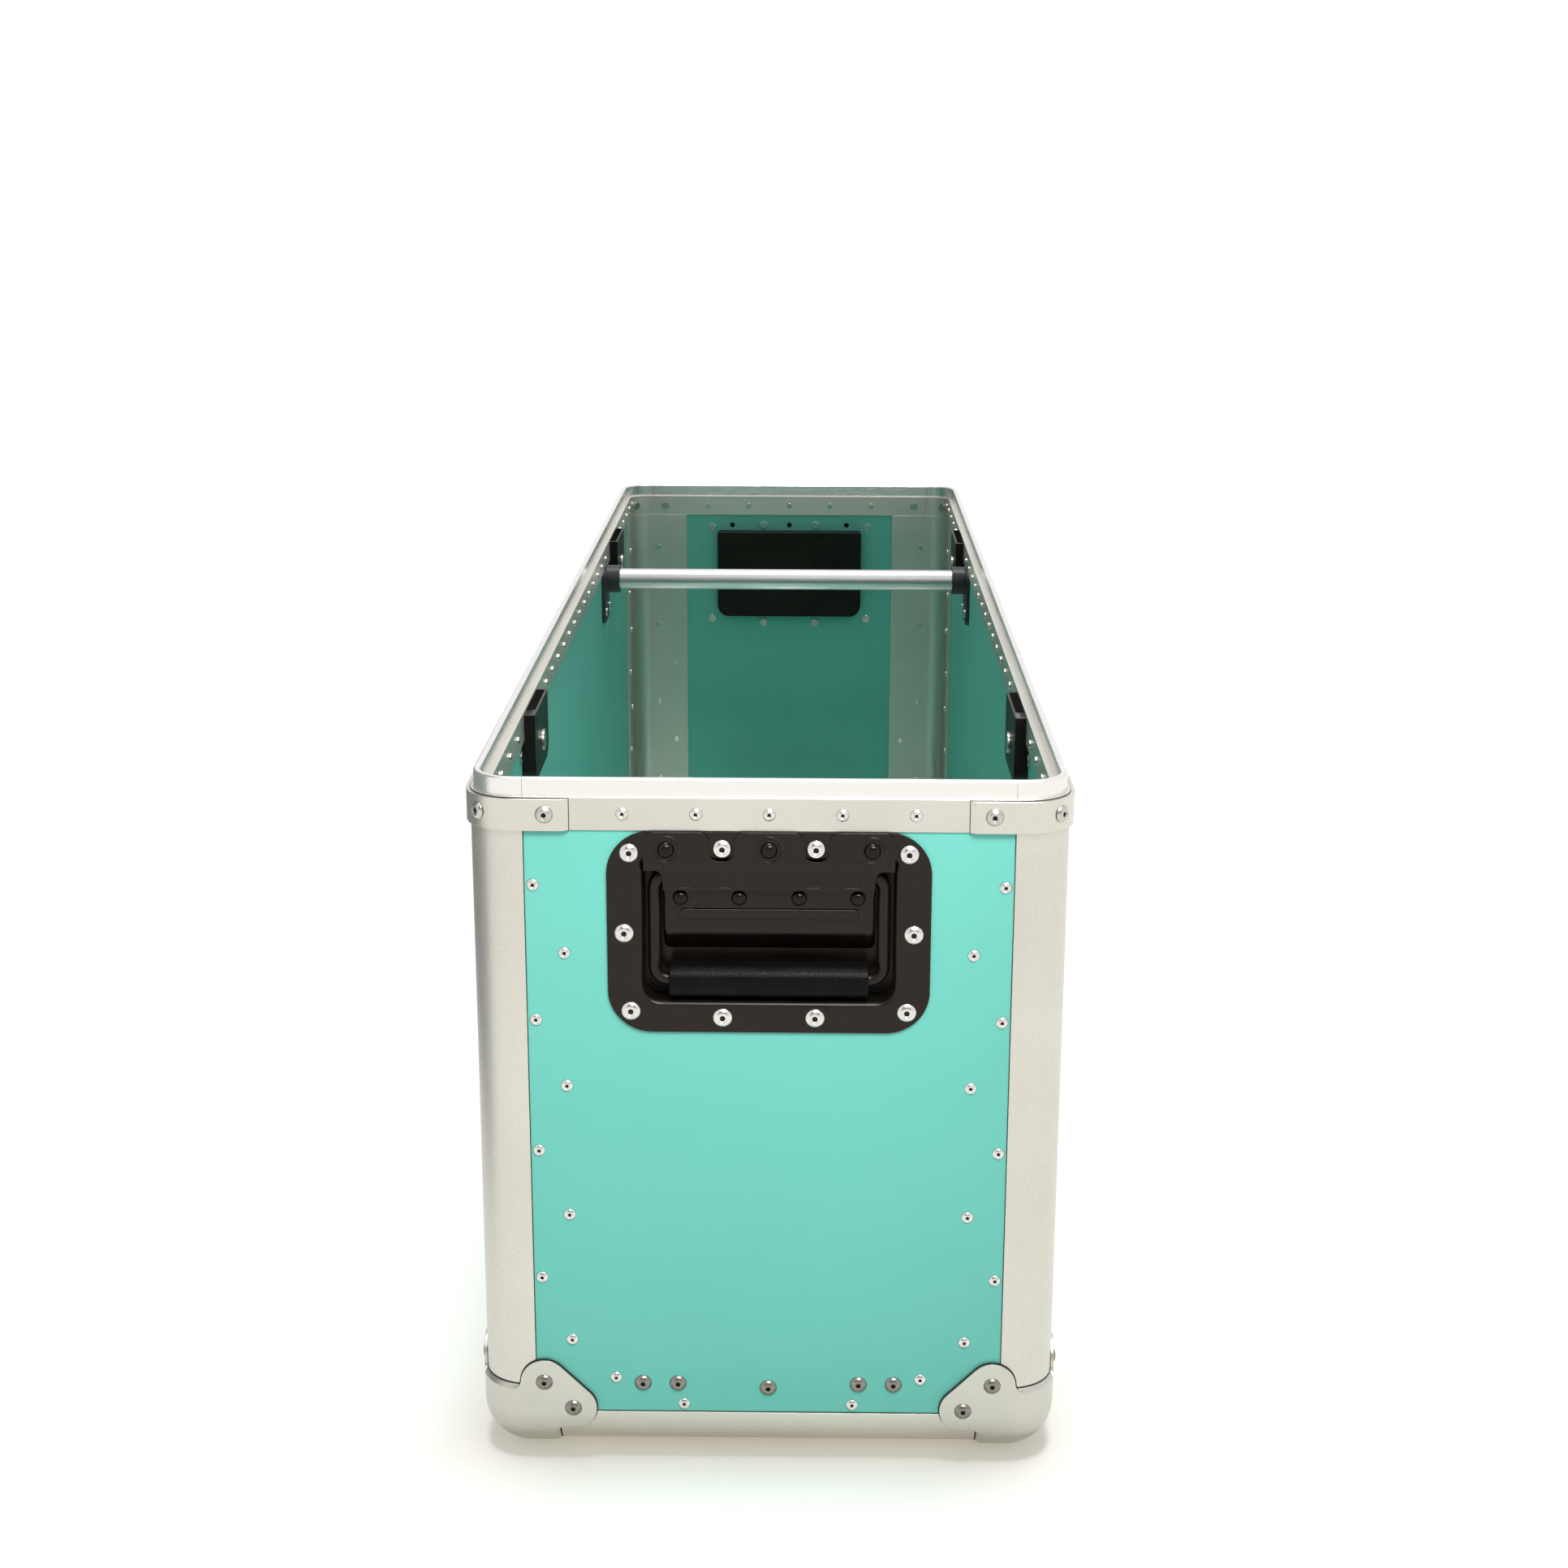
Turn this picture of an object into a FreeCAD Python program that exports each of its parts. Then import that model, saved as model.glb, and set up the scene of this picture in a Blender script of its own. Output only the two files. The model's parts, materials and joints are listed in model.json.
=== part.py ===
import FreeCAD, Part
import math
import os

# Bike travel case, lower half: riveted panels in aluminium edges, in millimetres.
# X is the width, Y the length with the near end at minus Y, Z is up.
# The origin is the middle of the footprint on the ground.

# Case shell
case_length = 1150.0
case_width = 340.0
case_height = 421.0
corner_sheet = 2.0
edge_radius = 27.0
corner_cover = 32.0
low_cover = 28.0
edge_wall = 2.0
flange_reach = 34.0
flange_wall = 2.0
panel_thick = 7.0
panel_inset = 1.0
panel_gap = 0.3
fit_gap = 0.1
overrun = 5.0

# Rim, its tongue and the corner braces
tongue_height = 10.5
tongue_setback = 2.0
tongue_thick = 4.0
tongue_bevel = 0.8
rim_band = 19.0
rim_web = 2.0
brace_wall = 2.2
brace_reach = 58.0
brace_rise = 0.6
brace_taper = 3.0
brace_lip = 0.5

# Pressed bottom corners: lobe places are measured from the outer corner of the shell
ball_reach = 15.5
lobe_radius = 14.0
lobe_fillet = 7.0
lobe_high_in = 37.0
lobe_high_up = 48.0
lobe_low_in = 54.0
lobe_low_up = 31.2

# Rivets
small_head = 3.7
small_rise = 1.4
small_shank = 1.6
large_head = 5.1
large_rise = 2.2
large_shank = 2.4
wide_head = 5.65
wide_rise = 2.0
dome_head = 4.9
dome_rise = 3.2
leaf_dome_head = 4.5
leaf_dome_rise = 2.8
rivet_clear = 0.1
rivet_tail = 1.4
tail_share = 1.6
eye_share = 0.28
hub_share = 0.5
hub_sink = 0.4
rivet_pitch = 40.33
rivet_near_row = 5.0
rivet_far_row = 22.0
rivet_top_drop = 32.5
rivet_row_count = 8
low_rivet_start = 50.0
rim_rivet_pitch = 41.0
rim_rivet_drop = 9.5
end_rim_rivets = 5
brace_rivet_in = 44.5
floor_rivet_pitch = 80.66
floor_rivet_in = 12.0
row_margin = 12.0
anchor_spread = 64.0
anchor_half_gap = 10.4
anchor_up = 46.6
anchor_middle_up = 44.0

# Recessed end handle: depths are measured in from the end face of the shell
dish_wall = 1.5
dish_half_width = 91.4
dish_below_recess = 18.4
dish_corner = 25.0
recess_half_width = 71.0
recess_drop = 47.5
recess_below_grip = 11.5
recess_corner = 10.0
recess_top_corner = 1.0
recess_depth = 18.5
recess_lip = 3.5
pad_half_width = 60.0
pad_depth = 5.0
pad_round = 10.0
pad_side_round = 3.0
pad_below_hinge = 6.5
pad_shoulder_drop = 27.5
pad_toe_drop = 13.0
bead_half_width = 51.0
bead_above_shoulder = 8.5
bead_height = 6.2
bead_rise = 1.0
bead_round = 0.8
plate_wall = 1.5
plate_side_gap = 0.5
plate_top_gap = 0.4
plate_bend_drop = 0.5
plate_bend_height = 4.7
plate_below_hinge = 7.0
plate_low_half_width = 59.5
plate_notch_round = 5.0
plate_joggle = 1.2
plate_bend_round = 8.0
tab_gap_near = 19.5
tab_gap_far = 33.8
tab_gap_above_recess = 0.7
tab_corner = 6.0
ring_outer = 8.0
ring_inner = 6.8
ring_rise = 0.6
tab_mark_drop = 1.5
tab_mark_height = 4.0
tab_mark_depth = 0.8
leaf_half_width = 59.0
leaf_below_plate = 11.4
leaf_corner = 9.0
lug_width = 8.0
lug_places = (25.0, 47.0)
lug_below = 5.8
lug_above = 6.5
lug_behind = 5.5
bail_radius = 3.75
bail_half_width = 65.0
bail_bend = 8.0
bail_tail = 19.0
bail_depth = 7.0
hinge_below_recess = 9.5
grip_below_hinge = 62.0
grip_radius = 10.3
grip_half_width = 56.6
grip_round = 1.0
hinge_clear = 0.08
spring_clear = 0.35
spring_wire = 1.2
spring_end_gap = 0.3
dish_rivet_side = 78.5
dish_rivet_mid_side = 81.8
dish_rivet_near = 26.3
dish_rivet_high_up = 5.0
dish_rivet_top_up = 7.5
dish_rivet_mid_drop = 32.8
dish_rivet_low_drop = 5.9
dish_rivet_bottom_drop = 9.6
plate_rivet_side = 57.8
leaf_rivet_far = 50.0
leaf_rivet_near = 16.9
leaf_rivet_up = 5.9
leaf_rivet_length = 4.0

# Recessed side latch: depths are measured in from the side face of the shell
latch_from_end = 240.0
latch_half_width = 56.0
latch_below_pocket = 14.0
latch_corner = 14.0
pocket_half_width = 36.0
pocket_below_turn = 17.0
pocket_depth = 16.0
turn_drop = 38.0
turn_radius = 14.0
turn_wall = 3.0
turn_gap = 1.0
fin_half_length = 12.0
fin_half_thick = 2.0
fin_rise = 7.5
fin_round = 3.0
spindle_radius = 4.0
spindle_head = 7.0
spindle_head_thick = 1.8
spindle_clear = 0.1
hook_wall = 2.0
hook_half_width = 10.0
hook_neck = 8.0
hook_head = 15.0
hook_head_height = 6.0
hook_slot_clear = 0.3
hook_travel = 7.0
hook_low_gap = 2.5
hook_step_gap = 2.0
hook_seat_gap = 0.3
hook_top_drop = 1.0
latch_rivet_side = 46.0
latch_rivet_near = 16.0
latch_rivet_low_drop = 5.0
latch_rivet_bottom_drop = 8.0

# Inside: cross bar and mount rail
bar_from_latch = 85.0
bar_drop = 38.0
bar_radius = 9.0
bar_wall = 1.5
bar_end_gap = 0.3
socket_wall = 3.0
socket_reach = 12.0
bracket_wall = 3.0
bracket_half_width = 22.0
bracket_below_bar = 37.0
bracket_corner = 6.0
bracket_rivet_side = 14.0
bracket_rivet_up = 10.0
rail_half_width = 20.0
rail_height = 18.0
rail_wall = 3.0
rail_slot = 9.0
rail_end_gap = 25.0
rail_rivet_in = 14.0
anchor_wall = 3.0
anchor_half_width = 85.0
anchor_low = 40.0
anchor_high = 62.0
anchor_foot_half_width = 18.0
anchor_foot = 42.0
slide_gap = 0.3
mount_from_end = 95.0
mount_base_half = 28.0
mount_base_long = 25.0
mount_base_wall = 6.0
mount_post_half = 15.0
mount_post_round = 4.0
axle_height = 112.0
axle_seat = 6.1
axle_tube = 14.0
fork_half_width = 50.0
rear_half_width = 71.0

# Sizes worked out from the ones above
half_width = case_width / 2
half_length = case_length / 2
seat = panel_inset + panel_thick
shell_depth = seat + flange_wall
parting = case_height - tongue_height
rim_low = parting - rim_band
edge_top = corner_sheet + low_cover
corner_ball = math.hypot(edge_radius + corner_sheet, ball_reach)
panel_top = parting - rim_web - panel_gap
floor_low = corner_sheet + panel_inset
floor_top = floor_low + panel_thick
flange_top = floor_top + flange_wall
recess_high = case_height - recess_drop
hinge_height = recess_high - hinge_below_recess
grip_height = hinge_height - grip_below_hinge
recess_low = grip_height - recess_below_grip
dish_low = recess_low - dish_below_recess
pad_top = hinge_height - pad_below_hinge
pad_shoulder = pad_top - pad_shoulder_drop
pad_toe = pad_shoulder - pad_toe_drop
bead_low = pad_shoulder + bead_above_shoulder
bead_high = bead_low + bead_height
plate_half_width = recess_half_width - plate_side_gap
plate_bend_high = recess_high - plate_bend_drop
plate_bend_low = plate_bend_high - plate_bend_height
plate_low = hinge_height - plate_below_hinge
tab_gap_low = recess_high + tab_gap_above_recess
tab_mark_high = hinge_height - tab_mark_drop
tab_mark_low = tab_mark_high - tab_mark_height
leaf_low = plate_low - leaf_below_plate
leaf_rivet_height = leaf_low + leaf_rivet_up
dish_rivet_high = recess_high + dish_rivet_high_up
dish_rivet_top = recess_high + dish_rivet_top_up
dish_rivet_mid = hinge_height - dish_rivet_mid_drop
dish_rivet_low = recess_low - dish_rivet_low_drop
dish_rivet_bottom = recess_low - dish_rivet_bottom_drop
turn_height = case_height - turn_drop
pocket_low = turn_height - pocket_below_turn
latch_low = pocket_low - latch_below_pocket
latch_rivet_high = turn_height
latch_rivet_low = pocket_low - latch_rivet_low_drop
latch_rivet_bottom = pocket_low - latch_rivet_bottom_drop
bar_height = case_height - bar_drop
bracket_low = bar_height - bracket_below_bar
bracket_rivet_height = bracket_low + bracket_rivet_up
dish_front = panel_inset - dish_wall
dish_floor = dish_front + recess_depth
hinge_depth = dish_front + bail_depth
leaf_front = dish_front + pad_depth - plate_wall
pocket_floor = dish_front + pocket_depth
latch_place = half_length - latch_from_end
bar_place = latch_place - bar_from_latch
mount_place = half_length - mount_from_end
rail_half_length = half_length - shell_depth - rail_end_gap
rail_top = flange_top + rail_height

V = FreeCAD.Vector
X_AXIS = V(1, 0, 0)
Y_AXIS = V(0, 1, 0)
Z_AXIS = V(0, 0, 1)
BEND_AXIS = V(-1, -1, 0).normalize()
ORIGIN = V(0, 0, 0)
parallel_share = 0.999
pieces = {}


# General shapes

def block(x_from, x_to, y_from, y_to, z_from, z_to):
    return Part.makeBox(x_to - x_from, y_to - y_from, z_to - z_from, V(x_from, y_from, z_from))


def end_block(half_x, depth_from, depth_to, z_from, z_to):
    """Block on the near end, centred in X, between two depths."""
    return block(-half_x, half_x, depth_from - half_length, depth_to - half_length, z_from, z_to)


def side_block(depth_from, depth_to, y_from, y_to, z_from, z_to):
    """Block on the left side, between two depths."""
    return block(depth_from - half_width, depth_to - half_width, y_from, y_to, z_from, z_to)


def prism(points, sweep):
    return Part.Face(Part.makePolygon(points + points[:1])).extrude(sweep)


def line(start, end):
    return Part.LineSegment(start, end).toShape()


def arc(points):
    return Part.Arc(*points).toShape()


def face_of(edges):
    return Part.Face(Part.Wire(edges))


def joined(shapes):
    return shapes[0].fuse(shapes[1:]).removeSplitter()


def round_edges(shape, axis, radius, chosen=None):
    """Fillet the edges along an axis, all of them or those that a test chooses."""
    edges = [e for e in shape.Edges if abs(e.tangentAt(e.FirstParameter).dot(axis)) > parallel_share]
    if chosen:
        edges = [e for e in edges if chosen(e.CenterOfMass)]
    return shape.makeFillet(radius, edges)


def flip_x(shape):
    return shape.mirror(ORIGIN, X_AXIS)


def flip_y(shape):
    return shape.mirror(ORIGIN, Y_AXIS)


def turned(shape):
    """The same piece at the far end of the case."""
    copy = shape.copy()
    copy.rotate(ORIGIN, Z_AXIS, 180)
    return copy


def aimed(shape, place, outward):
    """A shape made along Z, set at a place with Z turned outward."""
    copy = shape.copy()
    copy.Placement = FreeCAD.Placement(place, FreeCAD.Rotation(Z_AXIS, outward))
    return copy


# Rivets: made along Z with the head's seat at the origin

def eyed_rivet(head, rise, shank, grip):
    """Drawn rivet with a hole in its head and an upset tail."""
    eye = head * eye_share
    hub = head * hub_share
    hub_floor = rise - hub_sink
    crown = rise * tail_share / 2
    shoulder = (head + eye) / 2
    tail = shank * tail_share
    dome = arc((V(eye, 0, rise), V(shoulder, 0, crown), V(head, 0, 0))).Curve
    hub_top = V(hub, 0, dome.Center.z + math.sqrt(dome.Radius ** 2 - (hub - dome.Center.x) ** 2))
    outline = [
        line(V(0, 0, 0), V(eye, 0, 0)),
        line(V(eye, 0, 0), V(eye, 0, hub_floor)),
        line(V(eye, 0, hub_floor), V(hub, 0, hub_floor)),
        line(V(hub, 0, hub_floor), hub_top),
        arc((hub_top, V(shoulder, 0, crown), V(head, 0, 0))),
        line(V(head, 0, 0), V(shank, 0, 0)),
        line(V(shank, 0, 0), V(shank, 0, -grip)),
        line(V(shank, 0, -grip), V(tail, 0, -grip)),
        line(V(tail, 0, -grip), V(tail, 0, -grip - rivet_tail)),
        line(V(tail, 0, -grip - rivet_tail), V(0, 0, -grip - rivet_tail)),
        line(V(0, 0, -grip - rivet_tail), V(0, 0, 0)),
    ]
    return face_of(outline).revolve(ORIGIN, Z_AXIS, 360)


def dome_rivet(head, rise, shank, grip):
    """Solid rivet with a plain domed head."""
    slope = head / math.sqrt(2)
    crown = rise / math.sqrt(2)
    outline = [
        line(V(0, 0, -grip), V(0, 0, rise)),
        arc((V(0, 0, rise), V(slope, 0, crown), V(head, 0, 0))),
        line(V(head, 0, 0), V(shank, 0, 0)),
        line(V(shank, 0, 0), V(shank, 0, -grip)),
        line(V(shank, 0, -grip), V(0, 0, -grip)),
    ]
    return face_of(outline).revolve(ORIGIN, Z_AXIS, 360)


def holes(places, outward, shank, reach):
    """Clearance bores for rivets, from outside the head's seat to past the tail."""
    pin = Part.makeCylinder(shank + rivet_clear, reach + overrun, V(0, 0, -reach))
    return [aimed(pin, place, outward) for place in places]


def drilled(shape, cutters):
    return shape.cut(Part.makeCompound(cutters)) if cutters else shape


def end_points(pairs, depth):
    """Points on the near end from pairs of X and Z."""
    return [V(x, depth - half_length, z) for x, z in pairs]


def side_points(pairs, depth):
    """Points on the left side from pairs of Y and Z."""
    return [V(depth - half_width, y, z) for y, z in pairs]


def both(pairs):
    """Pairs repeated on both sides of the middle, once where they lie on it."""
    return pairs + [(-x, z) for x, z in pairs if x]


def upright_row(half_span):
    """Staggered rivets beside a vertical edge, as distances from the middle and heights."""
    rows = (rivet_near_row, rivet_far_row)
    top = rim_low - rivet_top_drop
    return [(half_span - corner_cover - rows[i % 2], top - i * rivet_pitch) for i in range(rivet_row_count)]


def end_rivet_pairs():
    low = [(low_rivet_start, edge_top + rivet_near_row)]
    low.append((low_rivet_start + rivet_pitch, edge_top + rivet_far_row))
    return both(upright_row(half_width) + low)


def side_rivet_pairs():
    rows = (rivet_near_row, rivet_far_row)
    span = half_length - corner_cover - flange_reach - row_margin
    count = int(span / rivet_pitch)
    low = [(i * rivet_pitch, edge_top + rows[i % 2]) for i in range(count + 1)]
    return both(upright_row(half_length) + low)


def end_rim_pairs():
    height = parting - rim_rivet_drop
    middle = (end_rim_rivets - 1) / 2
    return [((i - middle) * rim_rivet_pitch, height) for i in range(end_rim_rivets)]


def side_rim_pairs():
    """Rim rivets along a side, left out where a latch or a brace is."""
    height = parting - rim_rivet_drop
    span = half_length - brace_reach - row_margin
    steps = range(int(span / rim_rivet_pitch) + 1)
    clear = pocket_half_width + row_margin
    places = [i * rim_rivet_pitch for i in steps if abs(i * rim_rivet_pitch - latch_place) > clear]
    return both([(place, height) for place in places])


def brace_pairs(half_span):
    return both([(half_span - brace_rivet_in, parting - rim_rivet_drop)])


def bend_place(radius):
    """Middle of the bend at the near left corner of the rim, at a radius from the bend's centre."""
    slant = radius / math.sqrt(2)
    height = parting - rim_rivet_drop
    return V(edge_radius - half_width - slant, edge_radius - half_length - slant, height)


def bend_bores():
    return holes([bend_place(edge_radius)], BEND_AXIS, large_shank, shell_depth + overrun)


def corner_pairs(half_span):
    high = (half_span - lobe_high_in, corner_sheet + lobe_high_up)
    low = (half_span - lobe_low_in, corner_sheet + lobe_low_up)
    return both([high, low])


def anchor_pairs():
    pairs = [(anchor_spread - anchor_half_gap, corner_sheet + anchor_up)]
    pairs.append((anchor_spread + anchor_half_gap, corner_sheet + anchor_up))
    return both(pairs + [(0, corner_sheet + anchor_middle_up)])


def dish_rivet_pairs():
    return both([
        (dish_rivet_side, dish_rivet_high),
        (dish_rivet_near, dish_rivet_top),
        (dish_rivet_mid_side, dish_rivet_mid),
        (dish_rivet_side, dish_rivet_low),
        (dish_rivet_near, dish_rivet_bottom),
    ])


def plate_rivet_pairs():
    return both([(plate_rivet_side, dish_rivet_top), (0, dish_rivet_top)])


def leaf_rivet_pairs():
    return both([(leaf_rivet_far, leaf_rivet_height), (leaf_rivet_near, leaf_rivet_height)])


def latch_rivet_pairs():
    """Rivets of the latch at the near end of a side."""
    pairs = both([
        (latch_rivet_side, latch_rivet_high),
        (latch_rivet_side, latch_rivet_low),
        (latch_rivet_near, latch_rivet_bottom),
    ])
    return [(y - latch_place, z) for y, z in pairs]


def bracket_rivet_pairs():
    pairs = both([(bracket_rivet_side, bracket_rivet_height)])
    return [(bar_place + y, z) for y, z in pairs]


def floor_rivet_places():
    """Rivets up through the floor, along both sides and both ends."""
    side = half_width - corner_cover - floor_rivet_in
    end = half_length - corner_cover - floor_rivet_in
    count = int((end - row_margin) / floor_rivet_pitch)
    steps = [i * floor_rivet_pitch for i in range(-count, count + 1)]
    places = [V(x, y, floor_low) for x in (-side, side) for y in steps]
    row = (-floor_rivet_pitch, floor_rivet_pitch)
    return places + [V(x, y, floor_low) for x in row for y in (-end, end)]


def rail_rivet_places():
    end = rail_half_length - rail_rivet_in
    return [V(0, end, flange_top + rail_wall), V(0, -end, flange_top + rail_wall)]


# Bores that each wall of the shell needs, on the near end and on the left side

def end_bores():
    reach = shell_depth + anchor_wall + row_margin
    bores = holes(end_points(end_rivet_pairs() + end_rim_pairs(), 0), -Y_AXIS, small_shank, reach)
    large = brace_pairs(half_width) + corner_pairs(half_width) + anchor_pairs()
    bores += holes(end_points(large, 0), -Y_AXIS, large_shank, reach)
    places = end_points(dish_rivet_pairs() + plate_rivet_pairs(), 0)
    return bores + holes(places, -Y_AXIS, large_shank, reach)


def side_bores():
    reach = shell_depth + bracket_wall + row_margin
    bores = holes(side_points(side_rivet_pairs() + side_rim_pairs(), 0), -X_AXIS, small_shank, reach)
    latch = latch_rivet_pairs() + [(-y, z) for y, z in latch_rivet_pairs()]
    large = brace_pairs(half_length) + corner_pairs(half_length) + latch + bracket_rivet_pairs()
    return bores + holes(side_points(large, 0), -X_AXIS, large_shank, reach)


def floor_bores():
    bores = holes(floor_rivet_places(), -Z_AXIS, small_shank, panel_thick + flange_wall + row_margin)
    return bores + holes(rail_rivet_places(), Z_AXIS, large_shank, panel_thick + row_margin)


# Edge extrusions

def corner_arc(radius):
    """Three points of a quarter arc about the centre of an edge's rounding."""
    slant = radius / math.sqrt(2)
    low = V(edge_radius, edge_radius - radius, 0)
    middle = V(edge_radius - slant, edge_radius - slant, 0)
    return low, middle, V(edge_radius - radius, edge_radius, 0)


def edge_section(cover_a, cover_b):
    """Hollow rounded angle in the XY plane with its outer corner at the origin."""
    outer = corner_arc(edge_radius)
    inner = corner_arc(edge_radius - shell_depth)
    hollow_outer = corner_arc(edge_radius - edge_wall)
    hollow_inner = corner_arc(edge_radius - shell_depth + edge_wall)
    skin = face_of([
        line(V(cover_a, 0, 0), outer[0]),
        arc(outer),
        line(outer[2], V(0, cover_b, 0)),
        line(V(0, cover_b, 0), V(shell_depth, cover_b, 0)),
        line(V(shell_depth, cover_b, 0), inner[2]),
        arc(inner[::-1]),
        line(inner[0], V(cover_a, shell_depth, 0)),
        line(V(cover_a, shell_depth, 0), V(cover_a, 0, 0)),
    ])
    hollow = face_of([
        arc(hollow_outer),
        line(hollow_outer[2], hollow_inner[2]),
        arc(hollow_inner[::-1]),
        line(hollow_inner[0], hollow_outer[0]),
    ])
    return skin.cut(hollow).Faces[0]


def edge_bar(cover_a, cover_b, length, flange_a, flange_b):
    """Edge extrusion along Z about the origin, with a flange behind each panel."""
    bar = edge_section(cover_a, cover_b).extrude(V(0, 0, length))
    bar.translate(V(0, 0, -length / 2))
    back_a = block(cover_a, cover_a + flange_reach, seat, shell_depth, -flange_a / 2, flange_a / 2)
    back_b = block(seat, shell_depth, cover_b, cover_b + flange_reach, -flange_b / 2, flange_b / 2)
    return joined([bar, back_a, back_b])


def upright_edges():
    height = rim_low - edge_top
    bar = edge_bar(corner_cover, corner_cover, height, height, height)
    bar.translate(V(-half_width, -half_length, edge_top + height / 2))
    bar = drilled(bar, end_bores() + side_bores())
    pieces["corner_edge_front_left"] = bar
    pieces["corner_edge_front_right"] = flip_x(bar)
    pieces["corner_edge_rear_left"] = flip_y(bar)
    pieces["corner_edge_rear_right"] = turned(bar)


def bottom_edges():
    end_length = case_width - 2 * corner_cover
    side_length = case_length - 2 * corner_cover
    trim = 2 * (flange_reach + panel_gap)
    end_bar = edge_bar(corner_cover, low_cover, end_length, end_length - trim, end_length - trim)
    end_bar.rotate(ORIGIN, V(1, 1, 1), 120)
    end_bar.translate(V(0, -half_length, corner_sheet))
    end_bar = drilled(end_bar, end_bores() + floor_bores())
    side_bar = edge_bar(corner_cover, low_cover, side_length, side_length, side_length - trim)
    side_bar.rotate(ORIGIN, X_AXIS, 90)
    side_bar.translate(V(-half_width, 0, corner_sheet))
    side_bar = drilled(side_bar, side_bores() + floor_bores())
    pieces["bottom_edge_front"] = end_bar
    pieces["bottom_edge_rear"] = turned(end_bar)
    pieces["bottom_edge_left"] = side_bar
    pieces["bottom_edge_right"] = flip_x(side_bar)


# Panels

def latch_window(y_place, margin):
    """Room for a latch pocket in the left side."""
    reach = pocket_half_width + dish_wall + margin
    low = pocket_low - dish_wall - margin
    return side_block(-overrun, shell_depth + overrun, y_place - reach, y_place + reach, low, case_height)


def recess_block(depth_from, depth_to, margin):
    """The handle recess between two depths, grown all round by a margin."""
    half = recess_half_width + margin
    room = end_block(half, depth_from, depth_to, recess_low - margin, recess_high + margin)
    room = round_edges(room, Y_AXIS, recess_corner + margin, lambda c: c.z < hinge_height)
    return round_edges(room, Y_AXIS, recess_top_corner + margin, lambda c: c.z > hinge_height)


def panels():
    end_half = half_width - corner_cover - panel_gap
    side_half = half_length - corner_cover - panel_gap
    low = edge_top + panel_gap
    end = end_block(end_half, panel_inset, seat, low, panel_top)
    window = recess_block(-overrun, seat + overrun, dish_wall + panel_gap)
    end = drilled(end.cut(window), end_bores())
    side = side_block(panel_inset, seat, -side_half, side_half, low, panel_top)
    side = side.cut([latch_window(-latch_place, panel_gap), latch_window(latch_place, panel_gap)])
    side = drilled(side, side_bores())
    floor = block(-end_half, end_half, -side_half, side_half, floor_low, floor_top)
    pieces["end_panel_front"] = end
    pieces["end_panel_rear"] = turned(end)
    pieces["side_panel_left"] = side
    pieces["side_panel_right"] = flip_x(side)
    pieces["floor_panel"] = drilled(floor, floor_bores())


# Rim with its tongue

def rim_section():
    """Depths and heights round the rim's section."""
    back = tongue_setback + tongue_thick
    crown = case_height - tongue_bevel
    return [
        (0, rim_low),
        (0, parting),
        (tongue_setback, parting),
        (tongue_setback, crown),
        (tongue_setback + tongue_bevel, case_height),
        (back - tongue_bevel, case_height),
        (back, crown),
        (back, parting),
        (shell_depth, parting),
        (shell_depth, rim_low),
        (seat, rim_low),
        (seat, parting - rim_web),
        (panel_inset, parting - rim_web),
        (panel_inset, rim_low),
    ]


def hook_slot(y_place):
    """Slot in the rim that lets a latch hook rise outside the tongue."""
    half = hook_head + slide_gap
    return side_block(-overrun, tongue_setback, y_place - half, y_place + half, rim_low, parting + fit_gap)


def rim_bars():
    half = half_width - corner_cover - fit_gap
    end = prism([V(-half, d - half_length, z) for d, z in rim_section()], V(2 * half, 0, 0))
    end = drilled(end, end_bores())
    half = half_length - corner_cover - fit_gap
    side = prism([V(d - half_width, -half, z) for d, z in rim_section()], V(0, 2 * half, 0))
    under = block(-half_width - overrun, 0, -half_length, half_length, 0, parting - rim_web)
    for place in (-latch_place, latch_place):
        side = side.cut([latch_window(place, panel_gap).common(under), hook_slot(place)])
    side = drilled(side, side_bores())
    pieces["rim_front"] = end
    pieces["rim_rear"] = turned(end)
    pieces["rim_left"] = side
    pieces["rim_right"] = flip_x(side)


def four_corners(shape):
    """A shape at the near left corner and its copies at the other corners."""
    return [shape, flip_x(shape), flip_y(shape), turned(shape)]


def rim_corners():
    turn = V(edge_radius - half_width, edge_radius - half_length, 0)
    stub = corner_cover - edge_radius
    outline = [V(turn.x, d - half_length, z) for d, z in rim_section()]
    end_face = Part.Face(Part.makePolygon(outline + outline[:1]))
    side_face = end_face.copy()
    side_face.rotate(turn, Z_AXIS, -90)
    bend = end_face.revolve(turn, Z_AXIS, -90)
    corner = joined([bend, end_face.extrude(V(stub, 0, 0)), side_face.extrude(V(0, stub, 0))])
    pieces["rim_corners"] = Part.makeCompound(four_corners(drilled(corner, bend_bores())))


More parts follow.
